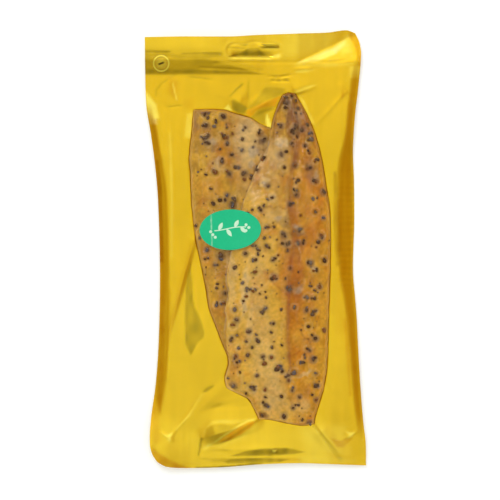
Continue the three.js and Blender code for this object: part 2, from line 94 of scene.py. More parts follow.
def mixInto(colours, target, share):
    return colours + (target - colours) * clamp01(share)[:, None]


def softNoise(x, y, size, seed):
    # values in -1..1 on a square lattice of the given size, blended by smooth steps between its corners
    side, shift = 128, 512
    lattice = np.random.default_rng(seed).uniform(-1, 1, (side, side))
    gx, gy = x / size + shift, y / size + shift
    ix, iy = np.floor(gx).astype(int), np.floor(gy).astype(int)
    tx, ty = smoothStep(0, 1, gx - ix), smoothStep(0, 1, gy - iy)

    def corner(dx, dy):
        return lattice[(iy + dy) % side, (ix + dx) % side]

    lower = lerp(corner(0, 0), corner(1, 0), tx)
    upper = lerp(corner(0, 1), corner(1, 1), tx)
    return lerp(lower, upper, ty)


def noiseSum(x, y, noises, start=0.0):
    # the start plus noises, each given by its strength, size and seed
    total = start
    for strength, size, seed in noises:
        total = total + strength * softNoise(x, y, size, seed)
    return total


# Curves, outlines and lines on the plan

def smoothThrough(stations):
    # cubic Hermite curve y(x), whose slope at a station is the rise over the run of its two neighbours
    xs, ys = np.array(stations, float).T
    index = np.arange(len(xs))
    before, after = np.maximum(index - 1, 0), np.minimum(index + 1, len(xs) - 1)
    slopes = (ys[after] - ys[before]) / (xs[after] - xs[before])

    def curve(x):
        x = np.clip(x, xs[0], xs[-1])
        i = np.clip(np.searchsorted(xs, x, side="right") - 1, 0, len(xs) - 2)
        h = xs[i + 1] - xs[i]
        t = (x - xs[i]) / h
        s = 1 - t
        ends = ys[i] * s * s * (1 + 2 * t) + ys[i + 1] * t * t * (1 + 2 * s)
        return ends + h * (slopes[i] * t * s * s - slopes[i + 1] * t * t * s)

    return curve


def planOf(left, right, bottom, top):
    # x = lerp(left(v), right(v), u) and y = lerp(bottom(u), top(u), v)
    def edge(stations):
        curve = smoothThrough(stations)
        return lambda share: curve(lerp(stations[0][0], stations[-1][0], clamp01(share)))

    leftX, rightX, bottomY, topY = edge(left), edge(right), edge(bottom), edge(top)

    def point(u, v):
        return lerp(leftX(v), rightX(v), u), lerp(bottomY(u), topY(u), v)

    def shares(x, y):
        # the point's own u and v, found by turns
        u, v = np.full_like(x, 0.5), np.full_like(x, 0.5)
        for _ in range(12):
            u = (x - leftX(v)) / (rightX(v) - leftX(v))
            v = (y - bottomY(u)) / (topY(u) - bottomY(u))
        return u, v

    pointsPerSide = 60
    run = np.arange(pointsPerSide) / pointsPerSide
    still = 0 * run
    sides = [point(run, still), point(still + 1, run), point(1 - run, still + 1), point(still, 1 - run)]
    outline = np.concatenate([np.stack(side, -1) for side in sides])
    return {"point": point, "shares": shares, "outline": outline}


def outsideBy(outline, x, y):
    # distance to a closed outline, negative inside it
    pointsAtOnce = 15000
    shape = x.shape
    points = np.stack([x.ravel(), y.ravel()], -1)
    start, end = outline, np.roll(outline, -1, axis=0)
    step = end - start
    length2 = (step ** 2).sum(-1) + 1e-12
    result = np.empty(len(points))
    for chunk in np.array_split(np.arange(len(points)), max(1, len(points) // pointsAtOnce)):
        offset = points[chunk, None, :] - start[None]
        t = clamp01((offset * step).sum(-1) / length2)
        away = np.hypot(offset[..., 0] - t * step[:, 0], offset[..., 1] - t * step[:, 1]).min(-1)
        py = points[chunk, 1][:, None]
        crosses = (start[:, 1] > py) != (end[:, 1] > py)
        rise = np.where(np.abs(step[:, 1]) < 1e-9, 1e-9, step[:, 1])
        crossX = start[:, 0] + step[:, 0] * (py - start[:, 1]) / rise
        inside = (crosses & (points[chunk, 0][:, None] < crossX)).sum(-1) % 2 == 1
        result[chunk] = np.where(inside, -away, away)
    return result.reshape(shape)


def toSegment(x, y, start, end):
    # share along a segment, signed distance to its left, and distance past its nearer end
    dx, dy = end[0] - start[0], end[1] - start[1]
    length = np.hypot(dx, dy)
    along = ((x - start[0]) * dx + (y - start[1]) * dy) / length ** 2
    side = (-(x - start[0]) * dy + (y - start[1]) * dx) / length
    past = np.maximum(0, np.maximum(-along, along - 1)) * length
    return along, side, past


# Plans of the pieces: left and right sides as (y, x), bottom and top as (x, y)

packPlan = planOf(
    left=[(-128.8, -59.4), (-124, -62.4), (-118, -63.9), (-104, -63.4), (-80, -60.3), (-52, -58.5),
          (-13, -57.9), (30, -59.1), (51, -60.9), (69, -63.3), (88, -66.2), (128, -66.9)],
    right=[(-131, 66.9), (-117, 66.7), (-104, 65.2), (-81, 63.4), (-58, 62.1), (-43, 61.4),
           (-31, 60.5), (-13, 59.1), (17, 59.9), (42, 59.7), (60, 59.1), (81, 60.3), (96, 62.1),
           (117, 63.9), (125, 63), (130.8, 60.4)],
    bottom=[(-59.4, -128.8), (-54, -131.6), (-43, -132.5), (-21, -132.1), (3, -130.3),
            (27, -129.6), (45, -130.2), (66.9, -131)],
    top=[(-66.9, 128), (-46, 128.4), (-15, 128.5), (0, 129.4), (27, 130.4), (44, 131.1),
         (55, 132.5), (60.4, 130.8)],
)
rearPlan = planOf(
    left=[(-93, -2.5), (-86, -7), (-72, -13), (-60, -18.8), (-47, -23.8), (-35.6, -28.1),
          (-21.7, -30.4), (5, -36), (24, -38.4), (44, -39.4), (57, -40.1), (70, -38.6), (84.4, -37.4)],
    right=[(-93, 2.5), (-82, 5), (-65, 8.5), (-40, 13), (-10, 17.5), (20, 19.5), (45, 18),
           (62, 13.5), (73.2, 9.4)],
    bottom=[(-2.5, -93), (2.5, -93.4)],
    top=[(-37.4, 84.4), (-19.4, 84.1), (-12.9, 82.1), (-3, 79.1), (4.2, 74.9), (9.4, 73.2)],
)
frontPlan = planOf(
    left=[(-103.2, 2.3), (-95, -1.7), (-90.5, -4.6), (-87, -11.5), (-84.5, -16.6), (-81, -18.2),
          (-77, -18.6), (-70, -16.6), (-63, -17), (-57, -17.8), (-50, -18.6), (-42.5, -17.7), (-37, -18.6),
          (-32, -17.8), (-26, -16.8), (-20, -17.6), (-14, -17.6), (-8, -16.5), (-1, -15), (12.7, -12.4),
          (35, -5), (48, 0.4), (59.5, 6.2), (81, 11.4), (93.2, 16.5)],
    right=[(-106, 35.4), (-101, 36.2), (-82.6, 41.6), (-68, 43.4), (-40, 44.3), (-3, 45.4),
           (24, 44.9), (37, 42.9), (53.5, 40.2), (68, 36.4), (81, 31.1), (93.4, 24.2)],
    bottom=[(2.3, -103.2), (10, -103.5), (18.2, -105.3), (28.2, -106.8), (35.4, -106)],
    top=[(16.5, 93.2), (20, 94.5), (24.2, 93.4)],
)


# Heights are kept on one raster and read from it by every piece

raster = {"left": -69.0, "low": -135.0, "step": 0.5, "columns": 277, "rows": 541}
rasterX, rasterY = np.meshgrid(
    raster["left"] + raster["step"] * np.arange(raster["columns"]),
    raster["low"] + raster["step"] * np.arange(raster["rows"]),
)


def heightAt(heights, x, y):
    # bilinear reading of the raster
    gx = np.clip((x - raster["left"]) / raster["step"], 0, raster["columns"] - 1.001)
    gy = np.clip((y - raster["low"]) / raster["step"], 0, raster["rows"] - 1.001)
    ix, iy = gx.astype(int), gy.astype(int)
    tx, ty = gx - ix, gy - iy
    lower = lerp(heights[iy, ix], heights[iy, ix + 1], tx)
    upper = lerp(heights[iy + 1, ix], heights[iy + 1, ix + 1], tx)
    return lerp(lower, upper, ty)


def soften(heights, rounds):
    # each point takes the mean of itself and its four neighbours
    z = heights.copy()
    for _ in range(rounds):
        wide = np.pad(z, 1, mode="edge")
        z = (wide[1:-1, 1:-1] + wide[:-2, 1:-1] + wide[2:, 1:-1] + wide[1:-1, :-2] + wide[1:-1, 2:]) / 5
    return z


def highestNear(heights, reach):
    # each point takes the highest value within so many steps along both axes
    z = heights
    for axis in (0, 1):
        z = np.max([np.roll(z, k, axis) for k in range(-reach, reach + 1)], axis=0)
    return z


# Meshes

def gridQuads(rows, columns, first=0, upward=True):
    # the quads of a grid of vertices, counter-clockwise from above where they face up
    i = np.arange(rows * columns).reshape(rows, columns) + first
    quads = np.stack([i[:-1, :-1], i[:-1, 1:], i[1:, 1:], i[1:, :-1]], -1).reshape(-1, 4)
    return quads if upward else quads[:, ::-1]


def shellFaces(rows, columns):
    # two grids, the lower one first, closed by a wall round the rim
    i = np.arange(rows * columns).reshape(rows, columns)
    rim = np.concatenate([i[0, :-1], i[:-1, -1], i[-1, :0:-1], i[:0:-1, 0]])
    nextRim = np.roll(rim, -1)
    size = rows * columns
    wall = np.stack([rim, nextRim, nextRim + size, rim + size], -1)
    return np.concatenate([gridQuads(rows, columns, 0, False), gridQuads(rows, columns, size), wall])


def makePiece(name, points, faces, material, node, colours, sharpAngle=50):
    # a mesh with a colour at every point, in place of the solid of the node, if one is named
    mesh = bpy.data.meshes.new(name)
    mesh.from_pydata((points * mm).tolist(), [], list(faces))
    mesh.validate()
    mesh.shade_smooth()
    mesh.set_sharp_from_angle(angle=np.radians(sharpAngle))
    attribute = mesh.color_attributes.new("tint", "FLOAT_COLOR", "POINT")
    rgba = np.concatenate([colours, np.ones((len(colours), 1))], -1)
    attribute.data.foreach_set("color", rgba.astype(np.float32).ravel())
    piece = bpy.data.objects.new(name, mesh)
    bpy.context.collection.objects.link(piece)
    mesh.materials.append(material)
    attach(piece, "root")
    if node:
        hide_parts(node)
    print("made", name, len(mesh.polygons), "faces")
    return piece


# Materials

def feed(links, socket, value):
    # a value is another node's socket to link, or a number or colour to set
    if isinstance(value, bpy.types.NodeSocket):
        links.new(value, socket)
    else:
        socket.default_value = value


def addNode(nodes, kind, settings=None, **inputs):
    # a node with its settings, and values for its named inputs
    node = nodes.new(kind)
    for key, value in (settings or {}).items():
        setattr(node, key, value)
    for key, value in inputs.items():
        node.inputs[key].default_value = value
    return node


def mathNode(nodes, links, operation, *values):
    node = addNode(nodes, "ShaderNodeMath", {"operation": operation})
    for socket, value in zip(node.inputs, values):
        feed(links, socket, value)
    return node.outputs["Value"]


def rangeNode(nodes, links, value, start, end, kind="LINEAR"):
    # the value moved from between the first two limits to between the second two
    move = addNode(nodes, "ShaderNodeMapRange", {"interpolation_type": kind})
    for key, limit in zip(("From Min", "From Max", "To Min", "To Max"), (*start, *end)):
        move.inputs[key].default_value = limit
    links.new(value, move.inputs["Value"])
    return move.outputs["Result"]


def bandNode(nodes, links, value, middle, half):
    # 1 where the value lies within half of the middle, with a soft edge
    off = mathNode(nodes, links, "ABSOLUTE", mathNode(nodes, links, "SUBTRACT", value, middle))
    return rangeNode(nodes, links, off, (half * 1.5, half * 0.5), (0, 1), "SMOOTHSTEP")


def blendNode(nodes, links, share, first, second, kind="MIX"):
    # the first colour, and the second blended with it where the share is 1
    mix = addNode(nodes, "ShaderNodeMix", {"data_type": "RGBA", "blend_type": kind})
    feed(links, mix.inputs["Factor"], share)
    feed(links, mix.inputs[6], first)
    feed(links, mix.inputs[7], second)
    return mix.outputs[2]


def scaleNode(nodes, links, colour, share):
    scale = addNode(nodes, "ShaderNodeVectorMath", {"operation": "SCALE"})
    feed(links, scale.inputs[0], colour)
    links.new(share, scale.inputs["Scale"])
    return scale.outputs["Vector"]


def noiseNode(nodes, links, place, size, detail, roughness=0.5):
    noise = addNode(nodes, "ShaderNodeTexNoise", Scale=size, Detail=detail, Roughness=roughness)
    links.new(place, noise.inputs["Vector"])
    return noise.outputs["Fac"]


def newMaterial(name, values):
    # a material with the given values in its main shader
    material = bpy.data.materials.new(name)
    material.use_nodes = True
    nodes, links = material.node_tree.nodes, material.node_tree.links
    shader = nodes["Principled BSDF"]
    for key, value in values.items():
        shader.inputs[key].default_value = value
    return material, nodes, links, shader


def tintedMaterial(name, look, printOver=None):
    # the mesh's own colours times a fine noise, and a low relief by another or the same one
    material, nodes, links, shader = newMaterial(name, look["shader"])
    place = addNode(nodes, "ShaderNodeTexCoord").outputs["Object"]
    tint = addNode(nodes, "ShaderNodeAttribute", {"attribute_name": "tint"})
    mottle = rangeNode(nodes, links, noiseNode(nodes, links, place, *look["mottle"]), (0, 1), look["shades"])
    colour = scaleNode(nodes, links, tint.outputs["Color"], mottle)
    if printOver:
        colour = printOver(nodes, links, place, colour)
    links.new(colour, shader.inputs["Base Color"])
    bump = addNode(nodes, "ShaderNodeBump", Strength=look["bump"], Distance=look["relief"] * mm)
    grain = noiseNode(nodes, links, place, *look.get("grain", look["mottle"]))
    links.new(grain, bump.inputs["Height"])
    links.new(bump.outputs["Normal"], shader.inputs["Normal"])
    return material


# The sealed border: height above the table

border = {
    "lift": 3.4,
    "least": 0.35,
    "filmThickness": 0.25,
    "filmGap": 0.25,
    "headerBand": {"low": 105.4, "width": 9.4, "full": -28.0, "to": 7.0, "slope": 0.235, "bend": 0.06,
                   "gentler": 0.25, "reach": 8},
    "headerRise": {"low": 113, "slope": 0.03, "x": (0, 50)},
    "cornerFacet": {"low": 113.3, "from": 26.0, "to": 57.5, "width": 15.5, "slope": 0.17},
    "cornerLift": {"at": (-62, -128), "reach": 30, "rise": 2.2},
    "leftRoll": {"width": 3.3, "wider": 2.1, "wide": [(80, 30)], "slope": 0.34, "start": 0.6, "bend": 0.8,
                 "ends": [(-112, -85), (92, 70)]},
    "rightRoll": {"width": 4.2, "wider": 5.3, "wide": [(75, 45), (-75, 25)], "slope": 0.3, "start": 0.8,
                  "bend": 1.2, "ends": [(-122, -95), (118, 100)]},
    "ripples": {"x": [(48, 52)], "y": [(-30, -18), (52, 40)], "spacing": 3.7, "rise": 0.07,
                "bend": [(1.8, 9, 6)]},
    "grain": [(0.05, 7, 3), (0.015, 2.6, 4)],
    "streaks": {"rise": 0.012, "size": 2.2, "stretch": 7, "seed": 5},
    "folds": [  # crest from, to, rise, widths of the facets to its left and right, where it is highest
        ((22, 96), (38, 102), 0.6, (8, 5), 0.1),
        ((-15.5, 90), (-4.5, 86.5), 0.8, (10, 6), 0.5),
        ((-5, 83), (15.5, 93), 0.9, (7, 5), 0.5),
        ((-38, 3), (-54, -52), 0.6, (3, 6), 0.3),
        ((-19, -83), (-56, -118), 0.5, (7, 5), 0.2),
        ((-1, -104.5), (-34, -115), 1.7, (6.5, 15), 0.7),
        ((36, -106), (56, -128), 0.7, (6, 7), 0.2),
        ((-14, -121.5), (30, -120), 0.7, (16, 3.4), 0.5),
        ((-28, -126.6), (22, -125.6), 0.4, (8, 2.4), 0.5),
    ],
    "creases": [  # thin lines in the foil: photo points, rise, width
        ([(157, 97), (156, 89.5), (162, 83), (175, 76.3)], -0.1, 1.1),
        ([(171.5, 83.7), (176.7, 99.8)], 0.1, 2.0),
        ([(168.6, 107), (180, 105.7)], -0.12, 1.1),
        ([(162, 102.7), (169, 111.5)], -0.12, 1.2),
        ([(190.6, 77), (213, 80)], -0.12, 1.2),
        ([(246, 79), (248.5, 80), (249, 95.4), (248, 107)], -0.15, 1.1),
        ([(242.7, 83.7), (236, 90), (229.5, 97)], 0.07, 1.3),
        ([(340, 85), (345, 92.5), (329, 110), (314.6, 124.8)], 0.2, 1.8),
        ([(345, 92.5), (355.6, 102.7)], 0.18, 1.6),
        ([(297, 92.5), (313, 88)], 0.14, 1.6),
        ([(215, 63), (300, 62)], -0.12, 1.4),
        ([(145, 52), (170, 52.5)], -0.12, 1.1),
        ([(200, 68), (262, 71)], -0.1, 1.2),
        ([(296, 69), (310, 68.5)], 0.2, 1.5),
        ([(270, 76), (276, 78)], -0.25, 1.2),
        ([(281, 77), (289, 75)], -0.25, 1.2),
        ([(272, 81), (288, 81)], -0.2, 1.2),
        ([(176.7, 133), (188.4, 155), (190, 181.6)], -0.15, 1.3),
        ([(194, 240), (169, 334), (168, 379)], 0.16, 1.9),
        ([(213, 385), (201.6, 393.7)], -0.12, 1.6),
        ([(310, 61.5), (330, 62), (345, 60.5)], -0.14, 1.1),
        ([(201.6, 393.7), (188.4, 415.7), (175, 430), (171.5, 436)], 0.22, 1.5),
        ([(162, 433), (172, 440)], 0.3, 1.5),
        ([(256, 419.4), (228, 437.7), (207.5, 451)], 0.1, 1.6),
        ([(313, 424.5), (341, 461)], -0.22, 1.4),
        ([(345, 438), (355.6, 432)], 0.16, 1.4),
        ([(345, 432), (351, 438)], 0.12, 1.3),
        ([(325, 383.5), (333.6, 396.7)], -0.12, 1.4),
        ([(217, 402), (243, 398)], 0.1, 2.2),
        ([(214, 408), (247, 406)], -0.1, 2.0),
        ([(273, 449.5), (276, 452)], 0.3, 1.2),
    ],
}


def foldHeight(x, y, start, end, rise, spreads, peak):
    # a tent with flat facets, which thins out towards both ends of its crest
    along, side, past = toSegment(x, y, start, end)
    t = clamp01(along)
    growing = 0.4 + 0.6 * t / max(peak, 1e-6)
    thin = np.where(t < peak, growing, (1 - t) / max(1 - peak, 1e-6))
    away = np.hypot(side, past)
    return rise * thin * np.maximum(0, 1 - away / np.where(side > 0, spreads[0], spreads[1]))


def creaseHeight(x, y, photoPoints, rise, width):
    # a thin tent along a line of several points
    points = [fromPhoto(*p) for p in photoPoints]
    away = np.full(x.shape, np.inf)
    for start, end in zip(points[:-1], points[1:]):
        _, side, past = toSegment(x, y, start, end)
        away = np.minimum(away, np.hypot(side, past))
    return rise * np.maximum(0, 1 - away / width)


def headerBand(x, y):
    # the header stands higher than the border below it, by a slope that narrows towards the right
    band = border["headerBand"]
    width = band["width"] * clamp01((band["to"] - x) / (band["to"] - band["full"]))
    steep = softRamp(0, 1, (y - band["low"]) / np.maximum(width, 1), band["bend"])
    gentle = band["gentler"] * band["slope"] * width * smoothStep(0, band["reach"], y - band["low"] - width)
    return band["slope"] * width * steep + gentle


def headerRise(x, y):
    # the header rises a little towards its top, on the right
    header = border["headerRise"]
    return header["slope"] * np.maximum(0, y - header["low"]) * smoothStep(*header["x"], x)


def cornerFacet(x, y):
    # a flat three-sided facet that falls away towards the top right corner
    facet = border["cornerFacet"]
    width = facet["width"] * clamp01((x - facet["from"]) / (facet["to"] - facet["from"]))
    return -facet["slope"] * np.clip(y - facet["low"], 0, width)


def cornerLift(x, y):
    # the bottom left corner bends up
    corner = border["cornerLift"]
    cx, cy = corner["at"]
    return corner["rise"] * smoothStep(corner["reach"], 0, np.hypot(x - cx, y - cy))


def sway(x, y):
    # two long, low waves
    return 0.4 * np.sin(x / 17 + 0.8) * np.cos(y / 23) + 0.25 * np.sin(y / 13 + x / 29)


def edgeRoll(roll, fromEdge, y):
    # the foil falls towards a long edge, over a width that changes along it
    width = roll["width"] + faded(roll["wider"], y, roll["wide"])
    fall = roll["slope"] * width * (1 - softRamp(roll["start"], width, fromEdge, roll["bend"]))
    return faded(fall, y, roll["ends"])


def borderHeight(x, y):
    _, v = packPlan["shares"](x, y)
    zero = np.zeros_like(x)
    leftEdge, _ = packPlan["point"](zero, clamp01(v))
    rightEdge, _ = packPlan["point"](zero + 1, clamp01(v))
    height = border["lift"]
    for part in (headerBand, cornerFacet, headerRise, cornerLift, sway):
        height = height + part(x, y)
    for fold in border["folds"]:
        height = height + foldHeight(x, y, *fold)
    height = height - edgeRoll(border["leftRoll"], x - leftEdge, y)
    height = height - edgeRoll(border["rightRoll"], rightEdge - x, y)
    return np.maximum(border["least"], height)


def edgeRipples(x, y):
    # fine ripples that lie across the right edge, where the foil is rolled down
    ripples = border["ripples"]
    wave = np.sin(noiseSum(x, y, ripples["bend"], 2 * np.pi * y / ripples["spacing"]))
    return ripples["rise"] * faded(1, x, ripples["x"]) * faded(1, y, ripples["y"]) * wave


slotShape = {
    "centre": (-0.7, 119.9),
    "halfWidth": 16.0,
    "halfHeight": 3.9,
    "humpRadius": 8.0,
    "hump": 1.6,
    "cut": {"depth": 0.12, "width": 0.5},
    "pressed": {"rise": 0.08, "width": 0.6, "outside": 1.7, "below": (4, 8)},
    "dip": 0.7,
    "bulge": 0.6,
}


def outsideSlot(x, y):
    # distance to the hang slot's outline: a bar with round ends, and the hump on it
    sx, sy = x - slotShape["centre"][0], y - slotShape["centre"][1]
    reach = slotShape["halfWidth"] - slotShape["halfHeight"]
    bar = np.hypot(np.maximum(np.abs(sx) - reach, 0), sy) - slotShape["halfHeight"]
    humpLow = slotShape["halfHeight"] + slotShape["hump"] - slotShape["humpRadius"]
    hump = np.where(sy > 0, np.hypot(sx, sy - humpLow) - slotShape["humpRadius"], 1e3)
    return np.minimum(bar, hump), sx, sy


def pressedOutline(strength, width, away, sx, sy):
    # a line that the die left a little outside the slot, on all sides but the top
    pressed = slotShape["pressed"]
    line = np.exp(-((away - pressed["outside"]) / width) ** 2)
    return strength * line * smoothStep(*pressed["below"], np.abs(sx) - sy)


def slotRelief(x, y):
    # the die's cut and its pressed outline, and the tab that is left in it, a little bowed
    away, sx, sy = outsideSlot(x, y)
    cut = -slotShape["cut"]["depth"] * np.exp(-(away / slotShape["cut"]["width"]) ** 2)
    pressed = pressedOutline(slotShape["pressed"]["rise"], slotShape["pressed"]["width"], away, sx, sy)
    inside = smoothStep(0.2, -0.6, away)
    lowDip = -slotShape["dip"] * smoothStep(0.6, -3.6, sy) * smoothStep(14, 9, np.abs(sx + 1))
    highRise = slotShape["bulge"] * smoothStep(0.9, 3.4, sy) * smoothStep(1.5, 5.5, sx)
    return cut + pressed + inside * (lowDip + highRise)


def fineRelief(x, y):
    height = slotRelief(x, y)
    for crease in border["creases"]:
        height = height + creaseHeight(x, y, *crease)
    streaks = border["streaks"]
    streaky = streaks["rise"] * softNoise(x, y / streaks["stretch"], streaks["size"], streaks["seed"])
    return height + edgeRipples(x, y) + (noiseSum(x, y, border["grain"]) + streaky)


rearAway = outsideBy(rearPlan["outline"], rasterX, rasterY)
frontAway = outsideBy(frontPlan["outline"], rasterX, rasterY)
fishAway = np.minimum(rearAway, frontAway)
riseRound = smoothStep(-6, 0.5, fishAway)
backUnder = np.maximum(0, borderHeight(rasterX, rasterY) + fineRelief(rasterX, rasterY)) * riseRound
backTop = backUnder + border["filmThickness"]
print("border worked out")


# Fillets: thickness in mm along them, and its share across them with the midline at 0.5

fishShape = {
    "rim": 1.3,
    "rounding": 1.9,
    "dense": {"across": 0.75, "along": 0.4},
    # shares of the way to the middle by which the edge wanders in
    "ragged": {"across": 0.008, "along": 0.0028, "noise": [(0.8, 3.4, 81), (0.5, 1.3, 82)]},
    "flakes": {"height": 0.035, "perMm": 1.25, "slant": 26, "bend": [(1.5, 14, 11)]},
    "lumps": [(0.45, 11, 12), (0.2, 4.5, 13), (0.08, 1.8, 14)],
    "groove": {"depth": 0.4, "width": 0.022, "mean": 0.7, "noise": [(0.5, 12, 15)]},
    "slopeRounds": 300,
    "rear": {
        "name": "filletRear",
        "node": "fillet_rear",
        "columns": 96,
        "rows": 300,
        "across": [(0, 0.78), (0.17, 1), (0.37, 0.96), (0.5, 0.86), (0.57, 0.92), (0.74, 0.74), (0.9, 0.42),
                   (1, 0.16)],
        "along": [(0, 1.8), (0.15, 4.4), (0.3, 7.2), (0.5, 9.6), (0.8, 11), (1, 10)],
        "midline": [(0, 0.42), (1, 0.42)],
    },
    "front": {
        "name": "filletFront",
        "node": "fillet_front",
        "columns": 104,
        "rows": 330,
        "across": [(0, 0.2), (0.13, 0.44), (0.3, 0.74), (0.43, 0.88), (0.5, 0.8), (0.6, 0.9), (0.8, 1),
                   (1, 0.8)],
        "along": [(0, 9), (0.06, 11), (0.25, 12.5), (0.5, 12.8), (0.75, 10), (0.92, 7), (1, 4.8)],
        "midline": [(0, 0.6), (0.16, 0.63), (0.21, 0.614), (0.345, 0.598), (0.5, 0.61), (0.56, 0.612),
                    (0.655, 0.535), (0.785, 0.545), (0.92, 0.65), (1, 0.65)],
    },
}


def roundedBy(away):
    # a quarter circle: 0 at the outline, 1 from the rounding's width inwards
    return np.sqrt(1 - (1 - clamp01(-away / fishShape["rounding"])) ** 2)


def filletTop(shape, base, under, away, x, y, u, v):
    # base + thickness(v) share(u), with flakes and lumps, rounded off over the upright rim
    middle = smoothThrough(shape["midline"])(v)
    evenly = np.where(u < middle, u / middle, 1 + (u - middle) / (1 - middle)) / 2
    thickness = smoothThrough(shape["along"])(v) * smoothThrough(shape["across"])(evenly)
    aside = np.abs(u - middle)
    flakes, groove = fishShape["flakes"], fishShape["groove"]
    wave = noiseSum(x, y, flakes["bend"], flakes["perMm"] * y + flakes["slant"] * aside)
    flake = flakes["height"] * np.sin(wave)
    valley = -groove["depth"] * np.exp(-(aside / groove["width"]) ** 2)
    valley = valley * noiseSum(x, y, groove["noise"], groove["mean"])
    full = base + thickness + flake + noiseSum(x, y, fishShape["lumps"]) + valley
    return under + fishShape["rim"] + np.maximum(0, full - under - fishShape["rim"]) * roundedBy(away)


def layFillet(shape, plan, base, support, away):
    # heights of a fillet's top face on the raster, and -1e3 off it
    u, v = plan["shares"](rasterX, rasterY)
    under = support + border["filmGap"]
    top = filletTop(shape, base, under, away, rasterX, rasterY, clamp01(u), clamp01(v))
    return np.where(away <= 0, top, -1e3)


tableBase = np.full_like(rasterX, border["filmThickness"] + border["filmGap"])
rearTop = layFillet(fishShape["rear"], rearPlan, tableBase, backTop, rearAway)
frontSupport = np.maximum(backTop, rearTop)
# the front fillet bends over the rear one in a long, soft slope
longSlope = soften(np.maximum(rearTop, tableBase), fishShape["slopeRounds"])
frontBase = np.maximum(tableBase, longSlope + border["filmGap"])
frontTop = layFillet(fishShape["front"], frontPlan, frontBase, frontSupport, frontAway)
fishTop = np.maximum(rearTop, frontTop)
print("fillets laid")


# Cracked pepper: where the grains lie

pepper = {
    "large": {"count": 58, "onRear": 0.33, "seed": 7, "tries": 4000, "radius": (1.0, 1.45), "apart": 5.5,
              "inset": 4.5, "hiddenWithin": 3.5},
    "grouped": {"seed": 5, "spread": 1.7, "first": (1.0, 1.75), "others": (0.8, 1.3)},
    "fine": {"tries": 780, "until": 418, "x": (-40, 46), "y": (-107, 94), "apart": 1.6, "least": 0.32,
             "more": 0.6, "skew": (1.3, 3)},
    "clearEdge": 1.0,
    "centreUp": 0.12,
    "capHeight": 0.62,
    "coarse": 0.8,
    # marks round the grains, stains and painted highlight rings: reach and widths as shares of a grain's
    # radius, and strength
    "stain": {"reach": 1.75, "slateReach": 2.3, "full": 0.45, "strength": 0.45},
    "ring": {"reach": 2.3, "at": 0.75, "width": 0.15, "strength": 0.42},
    "clusters": [  # photo pixels of the plainest clusters, and how many grains lie in each
        (206, 126, 2), (204, 139, 3), (209, 144, 2), (224, 136, 2), (227, 138, 2), (227, 145, 1),
        (223, 117, 1), (216, 122, 1), (227, 128, 1), (245, 128, 1), (259, 133, 2), (263, 141, 2),
        (222, 162, 2), (232, 155, 1), (236, 168, 2), (229, 174, 2), (244, 174, 1), (251, 176, 2),
        (257, 170, 2), (264, 158, 2), (206, 175, 1), (216, 173, 2), (213, 204, 1), (220, 200, 1),
        (225, 200, 1), (235, 200, 2), (233, 205, 2), (196, 226, 2), (197, 238, 2), (252, 210, 1),
        (259, 208, 2), (264, 206, 1), (268, 227, 2), (264, 238, 1), (253, 246, 2), (267, 246, 2),
        (283, 234, 2), (289, 243, 2), (300, 229, 2), (303, 243, 2), (275, 258, 2), (287, 251, 1),
        (321, 235, 2), (318, 242, 1), (324, 260, 1), (310, 263, 1), (316, 270, 2), (290, 268, 1),
        (258, 254, 1), (253, 260, 2), (235, 267, 1), (255, 272, 1), (207, 250, 1), (208, 258, 2),
        (221, 256, 3), (215, 265, 2), (217, 288, 1), (225, 293, 1), (217, 303, 1), (224, 303, 2),
        (247, 288, 3), (253, 291, 3), (266, 297, 1), (246, 296, 1), (274, 277, 3), (289, 289, 2),
        (307, 297, 2), (314, 298, 2), (319, 287, 1), (310, 286, 1), (294, 307, 1), (306, 310, 2),
        (313, 311, 2), (281, 309, 1), (262, 311, 3), (235, 309, 1), (273, 323, 2), (233, 325, 1),
        (249, 331, 1), (237, 335, 1), (231, 340, 2), (256, 334, 1), (258, 341, 2), (252, 347, 1),
        (308, 326, 1), (315, 338, 1), (324, 330, 1), (307, 348, 2), (304, 354, 2), (313, 359, 2),
        (272, 347, 1), (263, 356, 2), (264, 363, 1), (236, 356, 2), (237, 362, 2), (248, 355, 1),
        (278, 366, 4), (282, 371, 2), (276, 369, 1), (288, 375, 2), (294, 372, 2), (303, 362, 2),
        (257, 375, 1), (228, 378, 1), (240, 372, 1), (233, 386, 1), (246, 393, 1), (252, 387, 2),
        (265, 389, 1), (293, 387, 2), (315, 385, 3), (312, 394, 1), (281, 396, 1), (316, 399, 1),
        (263, 402, 1), (266, 405, 2), (298, 404, 2), (284, 416, 1), (262, 418, 2), (302, 419, 1),
        (310, 423, 2), (287, 98, 2), (287, 103, 2), (286, 108, 1), (292, 96, 1), (296, 101, 1), (298, 109, 1),
        (205, 115, 1), (209, 114, 1), (296, 113, 1), (281, 126, 2), (295, 128, 3),
        (292, 131, 2), (307, 125, 1), (309, 134, 2), (311, 139, 2), (305, 146, 1), (308, 151, 1),
        (297, 137, 1), (281, 155, 1), (286, 152, 1), (284, 168, 1), (292, 144, 1), (317, 160, 2),
        (310, 168, 2), (316, 182, 2), (294, 190, 2), (290, 204, 2), (296, 183, 1), (324, 192, 1),
        (317, 198, 1), (315, 212, 1), (323, 218, 1), (272, 198, 1), (329, 221, 1),
    ],
    "tones": np.array([
        linearColour(82, 56, 32), linearColour(101, 76, 52), linearColour(124, 76, 36),
        linearColour(112, 96, 82), linearColour(96, 86, 86),
    ]),
    "toneShares": [0.33, 0.29, 0.15, 0.15, 0.08],
    "paler": linearColour(140, 121, 100),
}


def parkMiller(seed):
    # the same running numbers as the solids' large grains
    state = {"draw": seed}
    factor, modulus = 16807, 2147483647

    def nextShare():
        state["draw"] = state["draw"] * factor % modulus
        return state["draw"] / modulus

    return nextShare


def clearOf(placed, x, y, apart):
    return all(np.hypot(x - gx, y - gy) >= apart for gx, gy, _ in placed)


